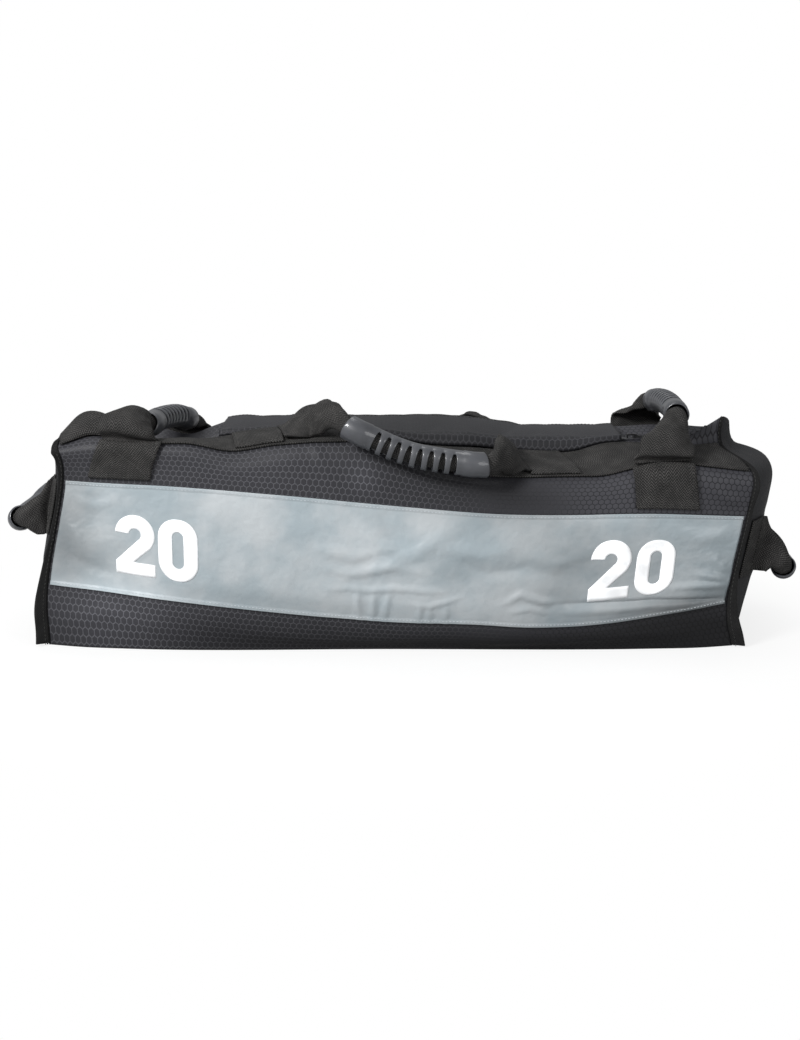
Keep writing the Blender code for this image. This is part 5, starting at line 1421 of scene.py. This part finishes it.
# %% Handles across the bag
for side, patches, legs in (
    ("left", LEFT_PATCH_SHARES, LEFT_HANDLE_SHARES), ("right", RIGHT_PATCH_SHARES, RIGHT_HANDLE_SHARES),
):
    ends = []
    for cloth, shares, way in ((front, patches[0], 1), (back, patches[1], -1)):
        column = float(share_at(sum(shares[1]) / 2 * HALF, PATCH_TOP))
        root = Root(cloth, column, PATCH_TOP, (0, 0.03 * way), TAIL_LIFT + WEBBING / 2, (0.073, 0))
        root.point = root.point + np.array([0, 0, TAIL_GAP])
        ends.append(root)
    handle(f"{side}_cross_handle", legs, *ends)

# %% Handles on the ends
END_RISE = 0.0008
inner = END_TAIL_WIDTH_SHARES[1] - TAIL_GAP / BAG_DEPTH * 2
lift = PATCH_LIFT + WEBBING / 2 + END_RISE
for side, cloth, legs in (
    ("left", left_end, LEFT_END_HANDLE_SHARES), ("right", right_end, RIGHT_END_HANDLE_SHARES),
):
    ends = [Root(cloth, way * inner, end_levels[side, way], (0.008, 0), lift, (0, 0.27)) for way in (-1, 1)]
    handle(f"{side}_end_handle", legs, *ends)

# %% [markdown]
# ## The bound seams
# Where front and back meet the ends, the raw edges stand out together and are bound in tape. Each
# binding is a ribbon that follows its seam and narrows towards the top.

# %% Bindings
BINDING_ROWS = np.linspace(0.03, 4.9, 115)
BINDING_WIDTH_SHARES = ((0, 1.0), (0.8, 0.8), (1.3, 0.32), (3, 0.32), (3.4, 0.1), (5, 0.1))
BINDING_CUT, BINDING_THICKNESS = 0.0124, 0.0024
binding_widths = smooth(BINDING_WIDTH_SHARES, BINDING_ROWS) * 0.010 + 0.0020
shares = np.linspace(0, 1, 7)
for end, way, u in (("left", -1, 0.0), ("right", 1, 1.0)):
    for face, side, cloth in (("front", -1, front), ("back", 1, back)):
        name = f"{end}_{face}_binding"
        out = unit((way, side * 0.45, 0))
        root = cloth.at(u, BINDING_ROWS) + np.array([-way * 0.0008, side * 0.0002, 0])
        wander = np.sin(BINDING_ROWS * 9.0 + way) * 0.0006
        points = root[:, None] + out * (binding_widths[:, None] * shares)[..., None]
        points = points + np.array([0, 1.0, 0]) * (wander[:, None] * shares)[..., None]
        flat = np.stack(np.meshgrid(shares * 0.01, cloth.flat(0, BINDING_ROWS)[:, 1]), -1)
        piece = grid_object(f"{name}_tape", points, flat, way * side, TAPE)
        thicken(piece, BINDING_THICKNESS, 0.0)
        place_piece(piece, "bag", [name])
        length = float(np.ptp(flat[..., 1]))
        area = min(grid_area(points) + BINDING_THICKNESS * length, BINDING_CUT * length)
        cut_sizes[piece.name] = (BINDING_CUT, round(length, 3))
        line = points[:, 2] - np.cross(out, (0, 0, 1)) * way * side * 0.00125
        stitches(f"{name}_stitches", [line], DARK_THREAD, pitch=0.0036)
print("four bindings")

# %% [markdown]
# ## The zip
# Two woven tapes carry a nylon coil: one long spring of teeth on each side that the slider presses
# together. A tooth is a bent wire, and there is one every 1.6 mm, so a second tree bends an arc
# into a tube and repeats it along each line. The slider, its puller and the stops are the packed
# solids with an enamel finish.

# %% Tapes, tabs and closing strips
ZIP_TOP, TAPE_INNER, TAPE_OUTER = 0.1665, 0.0023, 0.0163
TAB_LEFT, TAB_RIGHT, TAB_HALF, TAB_RAISED_HALF, TAB_STEP = -0.2965, 0.2975, 0.0165, 0.0105, 0.0013
TAPE_LONG = np.linspace(-0.262, 0.262, 121)
for name, side in (("front", -1), ("back", 1)):
    y = side * np.linspace(TAPE_INNER, TAPE_OUTER, 9)
    points = np.stack(np.meshgrid(TAPE_LONG, y, indexing="ij"), -1)
    flat = points.copy()
    points = np.concatenate([points, np.full((*points.shape[:2], 1), ZIP_TOP)], -1)
    points[..., 2] -= 0.00015 * (1 + np.sin(points[..., 0] * 210) * np.abs(points[..., 1]) / TAPE_OUTER)
    piece = grid_object(f"zip_tape_{name}_cloth", points, flat[..., ::-1].copy(), side, ZIP_TAPE)
    thicken(piece, 0.0007, -1.0)
    place_piece(piece, "bag", [f"zip_tape_{name}"])
    declare_sheet(piece, points, flat)

for name in ("zip_end_tab_left", "zip_end_tab_right"):
    low, high = (np.array(v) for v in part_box(name))
    if "left" in name:
        low[0] = TAB_LEFT
    else:
        high[0] = TAB_RIGHT
    x, y = np.meshgrid(np.linspace(low[0], high[0], 25), np.linspace(-TAB_HALF, TAB_HALF, 19), indexing="ij")
    z = low[2] - TAB_STEP + TAB_STEP * (np.abs(y) < TAB_RAISED_HALF) + 0.0002 * np.sin(x * 300)
    points = np.stack([x, y, z], -1)
    lay_sheet(f"{name}_cloth", points, points[..., :2].copy(), 1, PLAIN,
              THIN_CLOTH)

flap_columns = np.linspace(0.24, 0.848, 121)
loop_rows = np.linspace(5.15, 5.6, 9)
sewn_sheet("flap_loop_strip_cloth", front, flap_columns[:, None], loop_rows[None, :], LAP, THIN_CLOTH, CLOSURE)
print("tapes, tabs and strips")

# %% The coil
def tooth(add, link, given, spread):
    """A tooth of the coil: a bent wire."""
    ring, wire = add("GeometryNodeCurvePrimitiveCircle"), add("GeometryNodeCurvePrimitiveCircle")
    tube, shape = add("GeometryNodeCurveToMesh"), add("GeometryNodeTransform")
    turn = add("ShaderNodeCombineXYZ")
    ring.inputs["Resolution"].default_value = 10
    wire.inputs["Resolution"].default_value = 5
    shape.inputs["Rotation"].default_value = (0, math.pi / 2, 0)
    shape.inputs["Scale"].default_value = (1, 1, 0.62)
    link(given.outputs["Reach"], ring.inputs["Radius"])
    link(given.outputs["Wire"], wire.inputs["Radius"])
    link(ring.outputs["Curve"], tube.inputs["Curve"])
    link(wire.outputs["Curve"], tube.inputs["Profile Curve"])
    link(tube.outputs["Mesh"], shape.inputs["Geometry"])
    link(shape.outputs["Geometry"], spread.inputs["Instance"])
    link(given.outputs["Lean"], turn.inputs["Z"])
    link(turn.outputs["Vector"], spread.inputs["Rotation"])


COILING = repeating_tree("zip_coil", ("Pitch", "Reach", "Wire", "Lean"), "Nylon", "Teeth", tooth)
for name, side in (("front", -1), ("back", 1)):
    low, high = (np.array(v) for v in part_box(f"zip_coil_{name}"))
    middle = (low + high) / 2
    line = [(x, middle[1], middle[2]) for x in np.linspace(low[0] + 0.001, high[0] - 0.001, 3)]
    teeth = grown_from(COILING, f"zip_coil_{name}_teeth", [line], {
        "Pitch": 0.0016, "Reach": 0.00165, "Wire": 0.00042, "Lean": side * 0.30, "Nylon": COIL}, COIL)
    place_piece(teeth, "bag", [f"zip_coil_{name}"])
    print(teeth.name, len(teeth.data.polygons), "faces")

# %% [markdown]
# ## The flap over the zip
# A hemmed flap is sewn along the back edge of the opening and closes on hook-and-loop strips in
# front. It bridges the two crests, so it is one sheet from crest to crest, a little crowned.

# %% The flap
FLAP_HALF, FLAP_RISE = 0.036, 0.0085


def arched(start, end, mix, arch):
    """Between two edges at shares mix, bent out by arch in the middle."""
    return start * (1 - mix) + end * mix + np.array(arch) * 4 * mix * (1 - mix)


def flap_grid(columns, shares, drop=0.0):
    """The flap's level part. shares run from -1 at its front edge to 1 at its back edge."""
    near, far = front.at(columns, 5.0), back.at(columns, 5.0)
    mix = shares[None, :]
    height = near[:, 2:] * (1 - mix) / 2 + far[:, 2:] * (1 + mix) / 2 + 0.0016
    height = np.maximum(height, ZIP_LEVEL + FLAP_RISE) + 0.0012 * (1 - mix**2) - drop
    wave = 0.0007 * np.sin(columns * 37)[:, None] * (1 - mix**2) + 0.0004 * np.sin(columns * 83 + 1)[:, None]
    x = np.broadcast_to(near[:, :1], height.shape)
    return np.stack([x, np.broadcast_to(mix * FLAP_HALF, height.shape), height + np.abs(wave)], -1)


shares = np.linspace(-1, 1, 33)
flap_top = flap_grid(flap_columns, shares)
landing = front.at(flap_columns, 4.12, 0.0020)[:, None]
lip = np.linspace(1, 0.08, 9)[None, :, None]
hanging = arched(flap_top[:, :1], landing, lip, (0, -0.0020, 0.0022))
flap_points = np.concatenate([hanging, flap_top], axis=1)
flap_flat = np.stack(np.meshgrid(flap_top[:, 0, 0], distances(flap_points, 1), indexing="ij"), -1)
# The flap's colour is painted darker all over, most near the middle of the bag's length: painted shade.
flap_shade = -0.28 - 0.25 * np.exp(-(((flap_top[:, :1, 0] - 0.03) / 0.11) ** 2)) + 0 * flap_flat[..., 0]
lay_sheet("zip_flap_cloth", flap_points, flap_flat, 1, HEX, 0.0014,
          body="flap", shade=flap_shade)
rim = [flap_grid(flap_columns, np.array([s]))[:, 0] + [0, 0, 0.0015] for s in (0.80, 0.90)]
stitches("flap_stitches", rim, DARK_THREAD, "flap")

foot = back.at(flap_columns, 4.20, 0.0004)[:, None]
crown = flap_grid(flap_columns, np.array([0.97]), 0.0010)
climb = np.linspace(0, 1, 13)[None, :, None]
strip_points = arched(foot, crown, climb, (0, 0.0024, 0.0016))
strip_flat = np.stack(np.meshgrid(flap_top[:, 0, 0], distances(strip_points, 1), indexing="ij"), -1)
lay_sheet("flap_seam_strip_cloth", strip_points, strip_flat, -1, PLAIN,
          THIN_CLOTH, -1.0)

hook_shares = np.linspace(-1 + 0.006 / FLAP_HALF, -1 + 0.018 / FLAP_HALF, 9)
hook_points = flap_grid(flap_columns, hook_shares, 0.0003)
hook_along = np.broadcast_to(hook_points[:, :1, 0], hook_points.shape[:2])
lay_sheet("flap_hook_strip_cloth", hook_points, np.stack([hook_along, hook_points[..., 1]], -1), 1, CLOSURE,
          THIN_CLOTH, -1.0, "flap")
print("flap", cut_sizes["zip_flap_cloth"])

# %% [markdown]
# ## What is inside
# Four inner bags of sand give the duffel its bumps. They are closed in, but they are real pieces:
# soft pillows of lining cloth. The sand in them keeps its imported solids, with a grainy finish.

# %% Inner bags
SACK_HALF_HEIGHT, SACK_MIDDLE = 0.0698, 0.0702
turns, tilts = np.linspace(0, math.tau, 61), np.linspace(-math.pi / 2, math.pi / 2, 37)
turns, tilts = np.meshgrid(turns, tilts, indexing="ij")
ball = np.stack([np.cos(tilts) * np.cos(turns), np.cos(tilts) * np.sin(turns), np.sin(tilts)], -1)
ball = ball / (np.abs(ball) ** 4).sum(-1, keepdims=True) ** 0.25
for n in range(1, 5):
    low, high = (np.array(v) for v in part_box(f"filler_bag_{n}"))
    half = np.array([(high[0] - low[0]) / 2, (high[1] - low[1]) / 2, SACK_HALF_HEIGHT])
    centre = np.array([(low[0] + high[0]) / 2, 0, low[2] + SACK_MIDDLE])
    gather = 1 - 0.012 * (1 + np.sin(turns * 17)) * np.clip(np.sin(tilts), 0, 1) ** 2
    points = centre + ball * half * gather[..., None]
    flat = np.stack([turns * 0.075, tilts * 0.07], -1)
    sack = grid_object(f"filler_bag_{n}_cloth", points, flat, 1, LINING)
    closed = bmesh.new()
    closed.from_mesh(sack.data)
    bmesh.ops.remove_doubles(closed, verts=closed.verts, dist=0.0001)
    bmesh.ops.recalc_face_normals(closed, faces=closed.faces)
    closed.to_mesh(sack.data)
    closed.free()
    place_piece(sack, "bag", [f"filler_bag_{n}"])
print("four inner bags")

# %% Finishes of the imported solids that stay
def refinish(node, material):
    """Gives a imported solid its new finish, in its own slots."""
    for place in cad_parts[node].material_slots:
        place.material = material


for node in ("zip_slider", "zip_puller", "zip_stop_left", "zip_stop_right"):
    refinish(node, ENAMEL)
for n in range(1, 5):
    refinish(f"sand_fill_{n}", SAND)
print("eight solids keep their shape")

# %% [markdown]
# ## The floor, the backdrop and the light
# A plain pale floor takes the shadow. The world is bright and even, for the light that comes from
# everywhere in a white studio, and three large soft lamps give the satin its sheen. Only the
# camera sees the world as pure white.

# %% Floor and world
FLOOR_HALF, FLOOR_LEVEL = 6, -0.0004
corners = [(x * FLOOR_HALF, y * FLOOR_HALF, FLOOR_LEVEL) for x, y in ((-1, -1), (1, -1), (1, 1), (-1, 1))]
floor_mesh = bpy.data.meshes.new("floor")
floor_mesh.from_pydata(corners, [], [(0, 1, 2, 3)])
floor = add_object("floor", floor_mesh)
ground = Recipe("floor", Roughness=0.9)
seen = ground.node("ShaderNodeLightPath", {}, {})
ground.feed("Base Color", ground.mix(seen, (0.42, 0.42, 0.42), (0.95, 0.95, 0.95)))
span = ground.node("ShaderNodeVectorMath", {"operation": "LENGTH"}, {0: ground.place()}, 1)
white = ground.node("ShaderNodeEmission", {}, {"Color": (1, 1, 1, 1), "Strength": 1.0})
blended = ground.tree.nodes.new("ShaderNodeMixShader")
ground.tree.links.new((seen * span.ramp(0.28, 0.46, 0.78, 1.0)).socket, blended.inputs[0])
ground.tree.links.new(ground.shader.outputs[0], blended.inputs[1])
ground.tree.links.new(white.socket, blended.inputs[2])
ground.tree.links.new(blended.outputs[0], ground.tree.nodes["Material Output"].inputs["Surface"])
floor_mesh.materials.append(ground.material)

world = bpy.data.worlds.new("studio")
bpy.context.scene.world = world
world.use_nodes = True
nodes, links = world.node_tree.nodes, world.node_tree.links
air, sky = nodes["Background"], nodes.new("ShaderNodeBackground")
air.inputs["Color"].default_value = (0.97, 0.985, 1.0, 1.0)
air.inputs["Strength"].default_value = 0.36
sky.inputs["Strength"].default_value = 1.0
sky.inputs["Color"].default_value = (1, 1, 1, 1)
ray, mixed = nodes.new("ShaderNodeLightPath"), nodes.new("ShaderNodeMixShader")
links.new(ray.outputs["Is Camera Ray"], mixed.inputs["Fac"])
links.new(air.outputs["Background"], mixed.inputs[1])
links.new(sky.outputs["Background"], mixed.inputs[2])
links.new(mixed.outputs["Shader"], nodes["World Output"].inputs["Surface"])
print("floor and world")

# %% Lamps
def lamp(name, place, aim, size, power):
    """A round soft lamp that looks at a point."""
    light = bpy.data.lights.new(name, "AREA")
    light.shape, light.size, light.energy = "DISK", size, power
    made = add_object(name, light)
    made.location = place
    made.rotation_euler = (Vector(aim) - Vector(place)).to_track_quat("-Z", "Y").to_euler()


lamp("key", (-1.5, -1.5, 1.5), (0, 0, 0.08), 0.7, 62)
lamp("fill", (1.5, -1.9, 0.9), (0, 0, 0.08), 1.2, 15)
lamp("top", (-0.3, 0.6, 2.0), (0, 0, 0.1), 1.0, 9)

bpy.context.scene.view_settings.view_transform = "Standard"
print("one world and three lamps")

# %% [markdown]
# ## Last measurements
# The dressed object must keep the imported object's size. The size to which each sheet was cut is printed.

# %% Measure and finish
for name, size in sorted(cut_sizes.items()):
    print("cut", name, size)
